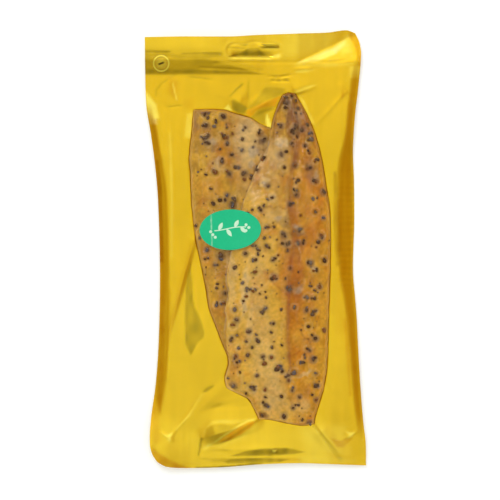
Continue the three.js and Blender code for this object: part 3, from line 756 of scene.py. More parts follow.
def spreadLarge(plan, count, hiddenBy, nextShare):
    rule = pepper["large"]
    placed = []
    for _ in range(rule["tries"]):
        if len(placed) >= count:
            break
        u, v = nextShare(), nextShare()
        x, y = (float(c) for c in plan["point"](np.array(u), np.array(v)))
        radius = lerp(*rule["radius"], nextShare())
        place = np.array([x]), np.array([y])
        shallow = outsideBy(plan["outline"], *place)[0] > -rule["inset"]
        crowded = not clearOf(placed, x, y, rule["apart"])
        covered = hiddenBy is not None and outsideBy(hiddenBy["outline"], *place)[0] < rule["hiddenWithin"]
        if shallow or crowded or covered:
            continue
        placed.append((x, y, radius))
        # the solids draw a turn and a tilt for each grain
        nextShare()
        nextShare()
    return placed


def placeLarge():
    rule = pepper["large"]
    nextShare = parkMiller(rule["seed"])
    onRear = round(rule["count"] * rule["onRear"])
    grains = spreadLarge(rearPlan, onRear, frontPlan, nextShare)
    return grains + spreadLarge(frontPlan, rule["count"] - onRear, None, nextShare)


def placeGrouped(rng):
    # the first grain of a cluster lies on its place and the others round it
    rule = pepper["grouped"]
    grains = []
    for px, py, count in pepper["clusters"]:
        cx, cy = fromPhoto(px, py)
        for k in range(count):
            turn = rng.uniform(0, 2 * np.pi)
            spread = 0 if k == 0 else rule["spread"]
            radius = rng.uniform(*(rule["first"] if k == 0 else rule["others"]))
            grains.append((cx + spread * np.cos(turn), cy + spread * np.sin(turn), radius))
    return grains


def placeGrains():
    rng = np.random.default_rng(pepper["grouped"]["seed"])
    grains = placeLarge() + placeGrouped(rng)
    rule = pepper["fine"]
    for _ in range(rule["tries"]):
        if len(grains) >= rule["until"]:
            break
        x, y = rng.uniform(*rule["x"]), rng.uniform(*rule["y"])
        inside = heightAt(fishAway, np.array(x), np.array(y)) < -pepper["clearEdge"]
        if inside and clearOf(grains, x, y, rule["apart"]):
            grains.append((x, y, rule["least"] + rule["more"] * rng.beta(*rule["skew"])))
    grains = np.array(grains)
    return grains[heightAt(fishAway, grains[:, 0], grains[:, 1]) < -pepper["clearEdge"]]


def aroundGrains(grains, start, width, valueOf):
    # the largest of the grains' values at each point of the raster; away is 1 at width times a grain's radius
    values = np.full_like(rasterX, start)
    ground = heightAt(fishTop, grains[:, 0], grains[:, 1])
    for (gx, gy, radius), z in zip(grains, ground):
        reach = int(np.ceil(radius * width / raster["step"])) + 1
        i = int(round((gx - raster["left"]) / raster["step"]))
        j = int(round((gy - raster["low"]) / raster["step"]))
        rows, columns = slice(j - reach, j + reach + 1), slice(i - reach, i + reach + 1)
        away = np.hypot(rasterX[rows, columns] - gx, rasterY[rows, columns] - gy) / (radius * width)
        values[rows, columns] = np.maximum(values[rows, columns], valueOf(away, z, radius))
    return values


def capOver(away, z, radius):
    dome = pepper["centreUp"] + pepper["capHeight"] * np.sqrt(1 - np.minimum(away, 1) ** 2)
    return np.where(away < 1, z + radius * dome, -1e3)


def stainRound(away, z, radius):
    return pepper["stain"]["strength"] * smoothStep(1, pepper["stain"]["full"], away)


def glintRingRound(away, z, radius):
    # painted highlight: a thin pale ring where the film stands off a grain
    ring = pepper["ring"]
    return ring["strength"] * np.exp(-((away - ring["at"]) / ring["width"]) ** 2)


grains = placeGrains()
coarse = grains[grains[:, 2] > pepper["coarse"]]
grainStains = aroundGrains(grains, 0, pepper["stain"]["reach"], stainRound)
slateStains = aroundGrains(coarse[1::3], 0, pepper["stain"]["slateReach"], stainRound)
grainGlintRings = aroundGrains(coarse[::3], 0, pepper["ring"]["reach"], glintRingRound)
print("grains", len(grains))


# Colours of the smoked flesh

fleshTones = linearTones({
    "rearBase": (194, 148, 58),
    "rearPale": (202, 157, 74),
    "frontBelly": (220, 175, 74),
    "frontLoin": (200, 136, 22),
    "frontTan": (184, 136, 62),
    "golden": (232, 184, 62),
    "tail": (124, 74, 30),
    "rust": (168, 86, 34),
    "stain": (114, 72, 28),
    "midline": (152, 84, 46),
    "skin": (156, 111, 50),
    "pale": (224, 193, 132),
    "orange": (196, 110, 30),
    "brown": (120, 74, 40),
    "grey": (140, 116, 92),
    # colour of the painted sheen and glints of the film
    "paintedSheen": (176, 160, 140),
    "slate": (126, 110, 102),
})
# ellipses by colour and seed, in the order in which they are laid on: photo x and y, radius across and along
# in pixels, turn in degrees, strength
fleshPatches = [
    ("orange", 31, [
        (224, 155, 10, 14, 0, 0.35), (215, 190, 14, 10, 0, 0.4), (203, 195, 6, 12, 0, 0.3),
        (266, 128, 5, 8, 0, 0.5), (297, 145, 6, 14, 0, 0.35), (315, 200, 12, 26, 0, 0.45),
        (312, 238, 12, 20, 0, 0.5), (318, 290, 9, 22, 0, 0.3), (297, 310, 9, 30, 0, 0.4),
        (302, 345, 12, 18, -40, 0.45), (288, 381, 8, 8, 0, 0.5), (300, 398, 9, 10, 0, 0.35),
        (276, 282, 3, 14, 40, 0.5), (270, 232, 12, 8, 0, 0.25), (233, 370, 6, 9, 0, 0.35),
        (206, 255, 8, 14, 0, 0.35), (215, 300, 6, 20, -15, 0.25), (283, 275, 8, 42, 0, 0.5),
        (321, 228, 7, 42, 0, 0.36), (305, 130, 6, 10, 0, 0.3),
    ]),
    ("rust", 45, [
        (293, 216, 6, 17, 0, 0.5), (296, 264, 8, 46, 0, 0.6), (309, 168, 7, 20, 0, 0.35),
        (291, 126, 4, 22, 4, 0.4), (290, 300, 3, 40, 0, 0.3), (236, 360, 6, 9, 0, 0.3),
    ]),
    ("golden", 39, [
        (272, 306, 15, 26, 0, 0.42), (262, 260, 14, 10, 0, 0.4), (276, 345, 12, 18, 0, 0.4),
        (246, 205, 10, 14, 20, 0.35), (205, 158, 8, 10, 0, 0.35), (318, 345, 6, 22, 0, 0.3),
        (305, 337, 13, 11, 0, 0.35), (270, 350, 8, 10, 0, 0.4), (325, 215, 5, 14, 0, 0.25),
        (214, 118, 14, 7, 0, 0.5), (322, 298, 7, 32, 0, 0.42), (282, 114, 4, 16, -12, 0.45),
        (214, 292, 7, 16, -15, 0.4), (268, 127, 6, 9, 0, 0.4), (310, 200, 8, 10, 0, 0.3),
        (212, 186, 28, 16, 0, 0.35), (299, 404, 11, 14, 0, 0.35), (318, 258, 8, 28, 0, 0.3),
        (262, 322, 7, 8, 0, 0.4), (262, 385, 8, 14, 0, 0.4), (276, 336, 7, 8, 0, 0.6),
        (230, 118, 9, 5, 0, 0.4), (262, 354, 13, 44, 0, 0.5), (290, 418, 8, 7, 0, 0.45),
        (221, 113, 8, 5, 0, 0.5), (284, 386, 12, 14, 0, 0.45),
    ]),
    # some of these pale ellipses are painted highlights where the film glints over the flesh; the rest are
    # paler flesh
    ("pale", 33, [
        (247, 140, 13, 30, 0, 0.75), (262, 150, 9, 12, 0, 0.5), (276, 158, 9, 12, 0, 0.45),
        (264, 183, 5, 5, 0, 0.7), (272, 197, 5, 4, 20, 0.5), (275, 216, 13, 7, 0, 0.35),
        (282, 144, 6, 5, 0, 0.6), (311, 126, 5, 4, 0, 0.4), (294, 190, 4, 5, 0, 0.4),
        (300, 229, 6, 3, -35, 0.5), (298, 288, 6, 4, 20, 0.3), (314, 269, 5, 4, 0, 0.35),
        (245, 290, 4.5, 30, -6, 0.62), (250, 325, 4, 26, -8, 0.5), (272, 388, 13, 28, 0, 0.4),
        (229, 270, 2.5, 40, 3, 0.5), (213, 142, 9, 5, 20, 0.35), (217, 166, 8, 4, -20, 0.4),
        (288, 377, 2, 7, 30, 0.5), (305, 373, 7, 2, 30, 0.5), (250, 192, 6, 16, 25, 0.3),
        (255, 300, 13, 66, 0, 0.22), (298, 405, 12, 15, 0, 0.2), (268, 332, 9, 9, 0, 0.3),
        (304, 406, 7, 8, 0, 0.4), (262, 352, 13, 40, 0, 0.34), (232, 275, 4, 30, 2, 0.5),
    ]),
    ("grey", 35, [
        (196, 122, 3, 10, 0, 0.4), (289, 112, 6, 14, 0, 0.35), (311, 170, 6, 14, 0, 0.35),
        (297, 140, 4, 20, 0, 0.3), (306, 130, 8, 8, 0, 0.25), (232, 120, 5, 5, 0, 0.2),
        (262, 417, 6, 4, 0, 0.4), (316, 178, 3, 8, 10, 0.4), (282, 222, 6, 5, -30, 0.45),
        (300, 232, 7, 3, -35, 0.5), (207, 141, 6, 6, 0, 0.5), (213, 147, 5, 5, 0, 0.4),
        (262, 138, 5, 6, 0, 0.4), (222, 163, 3, 3, 0, 0.5), (230, 174, 4, 3, 30, 0.6),
        (232, 155, 3, 5, 20, 0.5), (285, 243, 6, 6, 0, 0.4), (288, 120, 5, 8, 0, 0.4),
    ]),
    # painted highlights: small pale patches where the film glints and shines over the flesh
    ("paintedSheen", 43, [
        (264, 184, 3.5, 4, 30, 0.6), (272, 197, 3.5, 3, 20, 0.5), (278, 217, 4, 2.2, 20, 0.5),
        (254, 152, 5, 7, 10, 0.65), (252, 164, 3.5, 4, 0, 0.55), (281, 144, 5, 3.5, 0, 0.5),
        (300, 117, 4, 6, 10, 0.4), (211, 141, 5, 3, 30, 0.4), (297, 227, 5, 2, -30, 0.6),
        (299, 289, 6, 3.5, 30, 0.45), (314, 269, 4, 3, 0, 0.35), (212, 140, 5, 2.5, 30, 0.5),
        (219, 161, 2.5, 4, 0, 0.4), (312, 131, 3, 3, 0, 0.35), (315, 176, 3, 6, 0, 0.35),
        (246, 277, 2, 4, 10, 0.4), (245, 305, 1.6, 9, 0, 0.4),
    ]),
    # some of these brown ellipses are painted shade: thin dark lines along the rear fillet's top and left
    # edges, and the shade at the front fillet's lower left corner; the rest are smudges and cracks in the
    # flesh
    ("brown", 37, [
        (206, 114, 6, 2.5, 10, 0.8), (259, 134, 4, 4, 0, 0.55), (263, 142, 4, 4, 0, 0.55),
        (197, 111, 5, 3, 0, 0.35), (309, 146, 6, 8, 0, 0.3), (282, 160, 6, 7, 0, 0.2),
        (262, 148, 7, 11, 0, 0.32), (248, 125, 7, 6, 0, 0.3), (276, 210, 7, 6, 0, 0.25),
        (234, 364, 6, 7, 0, 0.22), (285, 100, 4, 5, 0, 0.45), (297, 128, 7, 7, 0, 0.35),
        (310, 132, 6, 9, -20, 0.3), (276, 208, 10, 1.2, -3, 0.6), (306, 340, 1.6, 13, 38, 0.4),
        (263, 421, 7, 3, 0, 0.5), (309, 424, 5, 3, 0, 0.5), (194, 122, 2, 12, 0, 0.35),
        (285, 240, 4, 5, 0, 0.4), (292, 233, 6, 4, 0, 0.4), (288, 222, 3, 7, 0, 0.35),
        (289, 128, 4, 18, 0, 0.45), (263, 416, 5, 5, 0, 0.75), (309, 422, 4, 4, 0, 0.5),
    ]),
]
# thin lines: strength, width in mm, photo points
fleshCracks = [
    (0.6, 0.5, [(264, 271), (269, 279), (277, 286), (287, 295)]),
    (0.5, 0.4, [(320, 310), (313, 334), (304, 347), (297, 353), (287, 357)]),
    (0.4, 0.5, [(313, 144), (322, 158), (325.5, 168)]),
    (0.35, 0.5, [(322, 208), (316, 233)]),
    (0.4, 0.4, [(259, 178), (264, 186), (267, 199)]),
    (0.35, 0.4, [(271, 205), (263, 210), (260, 218)]),
    (0.4, 0.4, [(196, 205), (203, 198), (214, 200)]),
    (0.35, 0.4, [(208, 150), (214, 158), (210, 170)]),
]
# painted highlights: thin pale lines where creases in the film glint; strength, width in mm, photo points
paintedGlintLines = [
    (0.5, 0.3, [(244, 138), (263, 138.6)]),
    (0.5, 0.3, [(197, 112), (202, 117), (207, 124)]),
    (0.8, 0.28, [(295, 243), (299, 247), (300, 253)]),
    (0.7, 0.3, [(285, 373), (290, 377), (294, 382)]),
    (0.7, 0.35, [(299, 377), (305, 373), (311, 370)]),
    (0.7, 0.3, [(259, 166), (264, 161.5)]),
    (0.5, 0.3, [(268, 168), (271, 175), (276, 178)]),
    (0.4, 0.3, [(229, 256), (227, 275), (230, 300)]),
]
fleshLook = {
    "wallWidth": 8,
    "speckle": {"mean": 0.925, "noise": [(0.14, 1.2, 24), (0.1, 5, 25)]},
    "underside": 0.85,
    "shader": {
        "Roughness": 0.42,
        "Specular IOR Level": 0.1,
        "Subsurface Weight": 0.12,
        "Subsurface Radius": (0.004, 0.002, 0.0008),
        "Subsurface Scale": 0.6,
    },
    "mottle": (1150, 4, 0.65),
    "shades": (0.74, 1.26),
    "bump": 0.25,
    "relief": 0.2,
}


def patchShare(x, y, patches, seed):
    # 1 in the middle of the strongest ellipse, 0 past its edge, with a ragged outline
    wobbleX = noiseSum(x, y, [(1.6, 3.5, seed), (0.9, 1.3, seed + 20)])
    wobbleY = noiseSum(x, y, [(1.6, 3.5, seed + 1), (0.9, 1.3, seed + 21)])
    scale = photoScale["mmPerPixel"]
    share = np.zeros_like(x)
    for px, py, across, along, turn, strength in patches:
        cx, cy = fromPhoto(px, py)
        dx, dy = rotated(x + wobbleX - cx, y + wobbleY - cy, -np.radians(turn))
        r = np.hypot(dx / (across * scale), dy / (along * scale))
        share = np.maximum(share, strength * smoothStep(1.35, 0.45, r))
    return share


def lineShare(x, y, lines, seed):
    # 1 on a line, fading within its width, a little broken along its way
    bend = 0.5 * softNoise(x, y, 2.4, seed)
    share = np.zeros_like(x)
    for strength, width, photoPoints in lines:
        points = [fromPhoto(*p) for p in photoPoints]
        for start, end in zip(points[:-1], points[1:]):
            _, side, past = toSegment(x, y, start, end)
            away = np.hypot(side + bend, past) / width
            share = np.maximum(share, strength * np.exp(-away ** 2))
    return share * noiseSum(x, y, [(0.4, 1.7, seed + 1)], 0.75)


def softEdgeOf(kind, x, y, u):
    # 1 where the fillet's edge is painted paler, against the shade of its steep rim, and shows less browned
    # skin; 0 where it is browned skin
    if kind == "rear":
        return smoothStep(0.3, 0.1, u) * smoothStep(-5, 15, y)
    lowRight = smoothStep(10, 30, x) * smoothStep(5, -20, y)
    highLeft = smoothStep(20, 40, y) * smoothStep(0.3, 0.1, u)
    return clamp01(lowRight + highLeft + smoothStep(-55, -80, y))


def plainColours(kind, v, aside):
    # the colours that cover wide stretches of a fillet
    if kind == "rear":
        colours = np.tile(fleshTones["rearBase"], (len(v), 1))
        return mixInto(colours, fleshTones["rearPale"], smoothStep(-0.02, 0.08, aside) * 0.7)
    colours = np.tile(fleshTones["frontBelly"], (len(v), 1))
    colours = mixInto(colours, fleshTones["frontTan"], 0.75 * smoothStep(0.6, 0.76, v))
    colours = mixInto(colours, fleshTones["frontLoin"], smoothStep(-0.02, 0.03, aside) * 0.85)
    return mixInto(colours, fleshTones["tail"], smoothStep(0.82, 0.95, v) * 0.68)


def fleshColours(kind, x, y, u, v, away):
    # layers of colour, each with its share at every point; fall is 1 at the fillet's edge
    aside = u - smoothThrough(fishShape[kind]["midline"])(v)
    fall = 1 - roundedBy(away)
    softEdge = softEdgeOf(kind, x, y, u)
    # the upright walls are coloured as if they were rolled out flat
    x = x + fleshLook["wallWidth"] * fall * np.sign(u - 0.5)
    y = y + fleshLook["wallWidth"] * fall * np.sign(v - 0.5)
    stripe = np.exp(-(aside / (0.026 + 0.028 * smoothStep(0.6, 0.8, v))) ** 2)
    layers = [
        ("golden", 0.34 * smoothStep(0.1, 0.6, noiseSum(x, y, [(1, 4.6, 61), (0.6, 1.9, 62)]))),
        ("orange", 0.26 * smoothStep(0.2, 0.7, noiseSum(x, y, [(1, 5.4, 63), (0.5, 2.1, 64)]))),
        ("pale", 0.16 * smoothStep(0.2, 0.8, softNoise(x, y / 6, 1.1, 65))),
        ("midline", stripe * noiseSum(x, y, [(0.42, 7, 21)], 0.42) * smoothStep(0.02, 0.1, v)),
        ("orange", 0.2 * softNoise(x, y, 10, 22)),
    ]
    layers += [(name, patchShare(x, y, patches, seed)) for name, seed, patches in fleshPatches]
    layers += [
        ("rust", lineShare(x, y, fleshCracks, 47)),
        ("slate", heightAt(slateStains, x, y)),
        ("stain", heightAt(grainStains, x, y)),
        # painted highlights: pale rings round some coarse grains, where the film glints
        ("pale", heightAt(grainGlintRings, x, y) * noiseSum(x, y, [(0.5, 2, 69)], 0.6)),
        # painted highlights: thin pale lines where the film's creases glint
        ("pale", lineShare(x, y, paintedGlintLines, 49)),
        ("rust", 0.35 * fall * smoothStep(0.1, 0.7, softNoise(x / 1.2, y / 8, 1, 67))),
        ("pale", 0.3 * fall * smoothStep(0.2, 0.8, softNoise(x, y / 10, 1, 68))),
        ("skin", fall * noiseSum(x, y, [(0.4, 3, 66), (0.35, 11, 70)], 0.3) * (1 - 0.8 * softEdge)),
        # painted light: the rim made paler, most where softEdge is 1, against the shade of its steep wall
        ("pale", fall * lerp(0.12, 0.5, softEdge)),
    ]
    colours = plainColours(kind, v, aside)
    for name, share in layers:
        colours = mixInto(colours, fleshTones[name], share)
    speckle = noiseSum(x, y, fleshLook["speckle"]["noise"], fleshLook["speckle"]["mean"])
    return np.clip(colours * speckle[:, None], 0, 1)


def edgeDense(count, share):
    # shares from 0 to 1, closer together near both ends
    t = np.linspace(0, 1, count)
    return lerp(t, (1 - np.cos(np.pi * t)) / 2, share)


def makeFillet(kind, plan, base, support, material):
    shape, dense, ragged = fishShape[kind], fishShape["dense"], fishShape["ragged"]
    u, v = np.meshgrid(edgeDense(shape["columns"], dense["across"]), edgeDense(shape["rows"], dense["along"]))
    x, y = plan["point"](u, v)
    inset = outsideBy(plan["outline"], x, y)
    inset[[0, -1], :] = 0
    inset[:, [0, -1]] = 0
    wander = np.maximum(0, noiseSum(x, y, ragged["noise"], 1))
    x, y = plan["point"](lerp(u, 0.5, ragged["across"] * wander), lerp(v, 0.5, ragged["along"] * wander))
    under = heightAt(support, x, y) + border["filmGap"]
    top = filletTop(shape, heightAt(base, x, y), under, inset, x, y, u, v)
    points = [np.stack([x, y, z], -1).reshape(-1, 3) for z in (under, top)]
    colours = fleshColours(kind, x.ravel(), y.ravel(), u.ravel(), v.ravel(), inset.ravel())
    skin = mixInto(colours, fleshTones["skin"], np.full(len(colours), fleshLook["underside"]))
    return makePiece(shape["name"], np.concatenate(points), shellFaces(shape["rows"], shape["columns"]),
                     material, shape["node"], np.concatenate([skin, colours]), 75)


fleshFinish = tintedMaterial("smokedFlesh", fleshLook)
makeFillet("rear", rearPlan, tableBase, backTop, fleshFinish)
makeFillet("front", frontPlan, frontBase, frontSupport, fleshFinish)


# Cracked pepper: the grains

grainShape = {
    "seed": 6,
    "squash": [(0.85, 1.2), (0.6, 0.95), (0.4, 0.6)],
    "chips": {"count": 5, "from": 0.6, "depth": 0.85},
    "bumps": 0.06,
    "tilt": 0.5,
    "patches": {"noise": 0.5, "strength": 0.4},
}
grainLook = {
    "shader": {"Roughness": 0.85, "Specular IOR Level": 0.08},
    "mottle": (2500, 3),
    "shades": (1, 1),
    "bump": 0.5,
    "relief": 0.2,
}


def grainTemplate():
    shape = bmesh.new()
    bmesh.ops.create_icosphere(shape, subdivisions=2, radius=1)
    points = np.array([v.co[:] for v in shape.verts])
    faces = np.array([[v.index for v in f.verts] for f in shape.faces])
    shape.free()
    return points, faces


def makePepper(grains):
    # every grain is the same ball, squashed, turned and chipped in its own way
    rng = np.random.default_rng(grainShape["seed"])
    ball, triangles = grainTemplate()
    count = len(grains)
    squash = np.stack([rng.uniform(*limits, count) for limits in grainShape["squash"]], -1)
    chipping, patching = grainShape["chips"], grainShape["patches"]
    chips = rng.normal(size=(count, chipping["count"], 3))
    chips /= np.linalg.norm(chips, axis=-1, keepdims=True)
    depth = np.einsum("vk,nck->nvc", ball, chips)
    cut = np.einsum("nvc,nck->nvk", chipping["depth"] * np.maximum(0, depth - chipping["from"]), chips)
    points = (ball[None] - cut) * (1 + grainShape["bumps"] * rng.normal(size=(count, len(ball), 1)))
    points = points * squash[:, None, :] * grains[:, 2][:, None, None]
    turn = rng.uniform(0, 2 * np.pi, count)
    tilt = rng.uniform(-grainShape["tilt"], grainShape["tilt"], count)
    y, z = rotated(points[..., 1], points[..., 2], tilt[:, None])
    x, y = rotated(points[..., 0], y, turn[:, None])
    ground = heightAt(fishTop, grains[:, 0], grains[:, 1])
    centre = np.stack([grains[:, 0], grains[:, 1], ground + pepper["centreUp"] * grains[:, 2]], -1)
    placed = np.stack([x, y, z], -1) + centre[:, None, :]
    faces = (triangles[None] + len(ball) * np.arange(count)[:, None, None]).reshape(-1, 3)
    own = pepper["tones"][rng.choice(len(pepper["tones"]), count, p=pepper["toneShares"])]
    patches = np.einsum("vk,nk->nv", ball, chips[:, 0])
    patches = patches + patching["noise"] * rng.normal(size=(count, len(ball)))
    share = (patching["strength"] * smoothStep(0, 1, patches) * rng.uniform(0, 1, (count, 1)))[..., None]
    colours = own[:, None, :] * (1 - share) + pepper["paler"] * share
    return makePiece("crackedPepper", placed.reshape(-1, 3), faces, tintedMaterial("pepperSkin", grainLook),
                     None, colours.reshape(-1, 3), 35)


makePepper(grains)


# Clear front film, and where the sticker lies on it

sticker = {
    "centre": (-15.2, 11.6),
    "halfWidth": 18.5,
    "halfHeight": 12.2,
    "turn": 2.0,
    "thickness": 0.12,
    "creaseAt": -11.3,
    "spanX": (-35.5, 5.5),
    "spanY": (-8.0, 31.0),
    "stiffness": 0.75,
    "stepReach": 7,
    "stepRounds": 100,
    "overFilm": 0.06,
    "gap": 0.03,
    "creaseRise": 0.16,
    "creaseWidth": 0.45,
    "innermost": 0.004,
    "rings": 70,
    "sectors": 240,
    "green": linearColour(26, 194, 142),
    "mint": linearColour(205, 245, 222),
    "stem": {"length": 9.5, "rise": 0.6, "bow": 0.9, "shift": 2, "wave": 5, "widths": (0.42, 0.18)},
    # each leaf: where it starts, turn in degrees, length
    "leaves": {"width": 1.15, "point": 0.8, "edge": 0.15,
               "list": [(-7, 62, 5.2), (-2.2, -58, 5.4), (2.6, 60, 5.0), (6.2, -50, 4.6)]},
    "berries": {"radii": (1.0, 0.75),
                "list": [(9.6, 2.6), (11.2, 0.9), (9.4, -0.9), (-10.6, -2.6), (-9.2, -4.2), (-11.8, -0.8)]},
    "shader": {"Roughness": 0.38, "Specular IOR Level": 0.2},
    "mottle": (700, 3),
    "shades": (0.93, 1.07),
    "bump": 0.15,
    "relief": 0.1,
}
filmShape = {
    "clearance": 0.12,
    "thickness": 0.1,
    "pull": 0.07,
    "rounds": 240,
    "columns": 150,
    "rows": 300,
    "overGrains": 1.25,
    "roughness": 0.09,
    "bending": 1.45,
    "faceOn": 0.045,  # what the film mirrors when it is seen face on
    "lowSheen": 1.3,  # how much more it mirrors at low angles
    "mostSheen": 0.9,
    "welded": 0.06,
    "loose": 0.2,
    "steep": 0.45,
}


def drape(obstacle):
    # each point sinks to its neighbours' mean less the vacuum's pull, and rests on what it meets
    z = obstacle.copy()
    for _ in range(filmShape["rounds"]):
        mean = (z[:-2, 1:-1] + z[2:, 1:-1] + z[1:-1, :-2] + z[1:-1, 2:]) / 4
        z[1:-1, 1:-1] = np.maximum(obstacle[1:-1, 1:-1], mean - filmShape["pull"])
    return z


def tautRows(z):
    # the highest straight line over each point between any two others of its row
    result = z.copy()
    for start in range(0, z.shape[1] - 1, 3):
        for end in range(start + 3, z.shape[1], 3):
            line = lerp(z[:, [start]], z[:, [end]], np.linspace(0, 1, end - start + 1))
            result[:, start:end + 1] = np.maximum(result[:, start:end + 1], line)
    return result


def spanSticker(heights):
    # the stiff sticker sags only part of the way from the taut lines to what it lies on
    columns = slice(*(int((x - raster["left"]) / raster["step"]) for x in sticker["spanX"]))
    rows = slice(*(int((y - raster["low"]) / raster["step"]) for y in sticker["spanY"]))
    result = heights.copy()
    spanned = heights[rows, columns]
    result[rows, columns] = lerp(spanned, tautRows(spanned), sticker["stiffness"])
    return result


def filmMaterial():
    # clear, with a sheen that grows towards low angles
    material, nodes, links, shader = newMaterial("clearFilm", {})
    nodes.remove(shader)
    clear = addNode(nodes, "ShaderNodeBsdfTransparent")
    gloss = addNode(nodes, "ShaderNodeBsdfGlossy", Roughness=filmShape["roughness"], Color=(1, 1, 1, 1))
    mirrored = addNode(nodes, "ShaderNodeFresnel", IOR=filmShape["bending"]).outputs["Fac"]
    contact = addNode(nodes, "ShaderNodeAttribute", {"attribute_name": "tint"})
    more = mathNode(nodes, links, "SUBTRACT", mirrored, filmShape["faceOn"])
    more = mathNode(nodes, links, "MAXIMUM", more, 0.0)
    more = mathNode(nodes, links, "MULTIPLY", more, filmShape["lowSheen"])
    sheen = mathNode(nodes, links, "ADD", mirrored, more)
    sheen = mathNode(nodes, links, "MINIMUM", sheen, filmShape["mostSheen"])
    mix = addNode(nodes, "ShaderNodeMixShader")
    links.new(mathNode(nodes, links, "MULTIPLY", sheen, contact.outputs["Fac"]), mix.inputs["Fac"])
    links.new(clear.outputs["BSDF"], mix.inputs[1])
    links.new(gloss.outputs["BSDF"], mix.inputs[2])
    links.new(mix.outputs["Shader"], nodes["Material Output"].inputs["Surface"])
    return material


grainTops = aroundGrains(grains, -1e3, filmShape["overGrains"], capOver)
filmRest = np.maximum(backTop, np.maximum(fishTop, grainTops)) + filmShape["clearance"]
# the sticker bridges the step between the fillets, and the film stays stuck to it
stepSpanned = highestNear(spanSticker(drape(filmRest)), sticker["stepReach"])
stickerGround = soften(stepSpanned, sticker["stepRounds"]) + filmShape["thickness"]
stickerAway = np.hypot((rasterX - sticker["centre"][0]) / sticker["halfWidth"],
                       (rasterY - sticker["centre"][1]) / sticker["halfHeight"])
bridge = np.where(stickerAway < 1, stickerGround - filmShape["thickness"] - sticker["overFilm"], 0)
filmUnder = drape(np.maximum(filmRest, bridge))
filmTop = filmUnder + filmShape["thickness"]
stickerGround = np.maximum(stickerGround, soften(highestNear(filmTop, 1), 3))
rise, run = np.gradient(filmTop, raster["step"])
filmSlope = soften(np.hypot(rise, run), 2)


def filmShare(x, y):
    # the film shines less where it is welded to the gold, and where it falls steeply
    loose = filmShape["loose"] * smoothStep(-1.0, -4.0, heightAt(fishAway, x, y))
    share = (filmShape["welded"] + loose) / (1 + (heightAt(filmSlope, x, y) / filmShape["steep"]) ** 2)
    return np.stack([share, share, share], -1)


def makeSheet(name, node, lower, upper, across, along, material, colours):
    # a thin closed sheet on the pack's plan, at the given shares across and along it
    u, v = np.meshgrid(across, along)
    x, y = packPlan["point"](u, v)
    points = [np.stack([x, y, heightAt(z, x, y)], -1).reshape(-1, 3) for z in (lower, upper)]
    own = colours(x.ravel(), y.ravel())
    return makePiece(name, np.concatenate(points), shellFaces(len(along), len(across)), material, node,
                     np.concatenate([own, own]))


makeSheet("clearFilm", "front_film", filmUnder, filmTop, np.linspace(0, 1, filmShape["columns"]),
          np.linspace(0, 1, filmShape["rows"]), filmMaterial(), filmShare)


# Gold back

foil = {
    "columns": 140,
    "rows": 350,
    "rowStops": [(0, 0), (0.19, 0.15), (0.68, 0.77), (1, 1)],  # share of the rows, share of the height
    # stretches painted paler and more yellow, a painted reflection of brighter light: strength, and the y
    # between which it grows; and where they fade on the right
    "lemonAreas": [(0.4, 0, -50), (0.45, -95, -116), (0.55, 110, 122)],
    "lemonFade": (0.8, 40, 50),
    "shader": {"Metallic": 1, "Roughness": 0.22},
    "mottle": (28, 3),
    "shades": (0.95, 1.05),
    "grain": (160, 2),
    "bump": 0.3,
    "relief": 0.3,
}
foilTones = linearTones({
    "gold": (228, 186, 34),
    "lemon": (237, 202, 50),
    "olive": (158, 134, 26),
    "orange": (204, 142, 14),
    "bright": (255, 232, 92),
    "glare": (255, 238, 150),
    "amber": (244, 176, 26),
    "umber": (150, 100, 6),
    "ink": (110, 84, 14),
})
ringMark = {
    "centre": fromPhoto(161.3, 63.6),
    "outer": 4.6,
    "inner": 2.9,
    "line": 0.42,
    "bar": (1.7, 0.55),
    "turn": 20.0,
    "discStrength": 0.45,
}
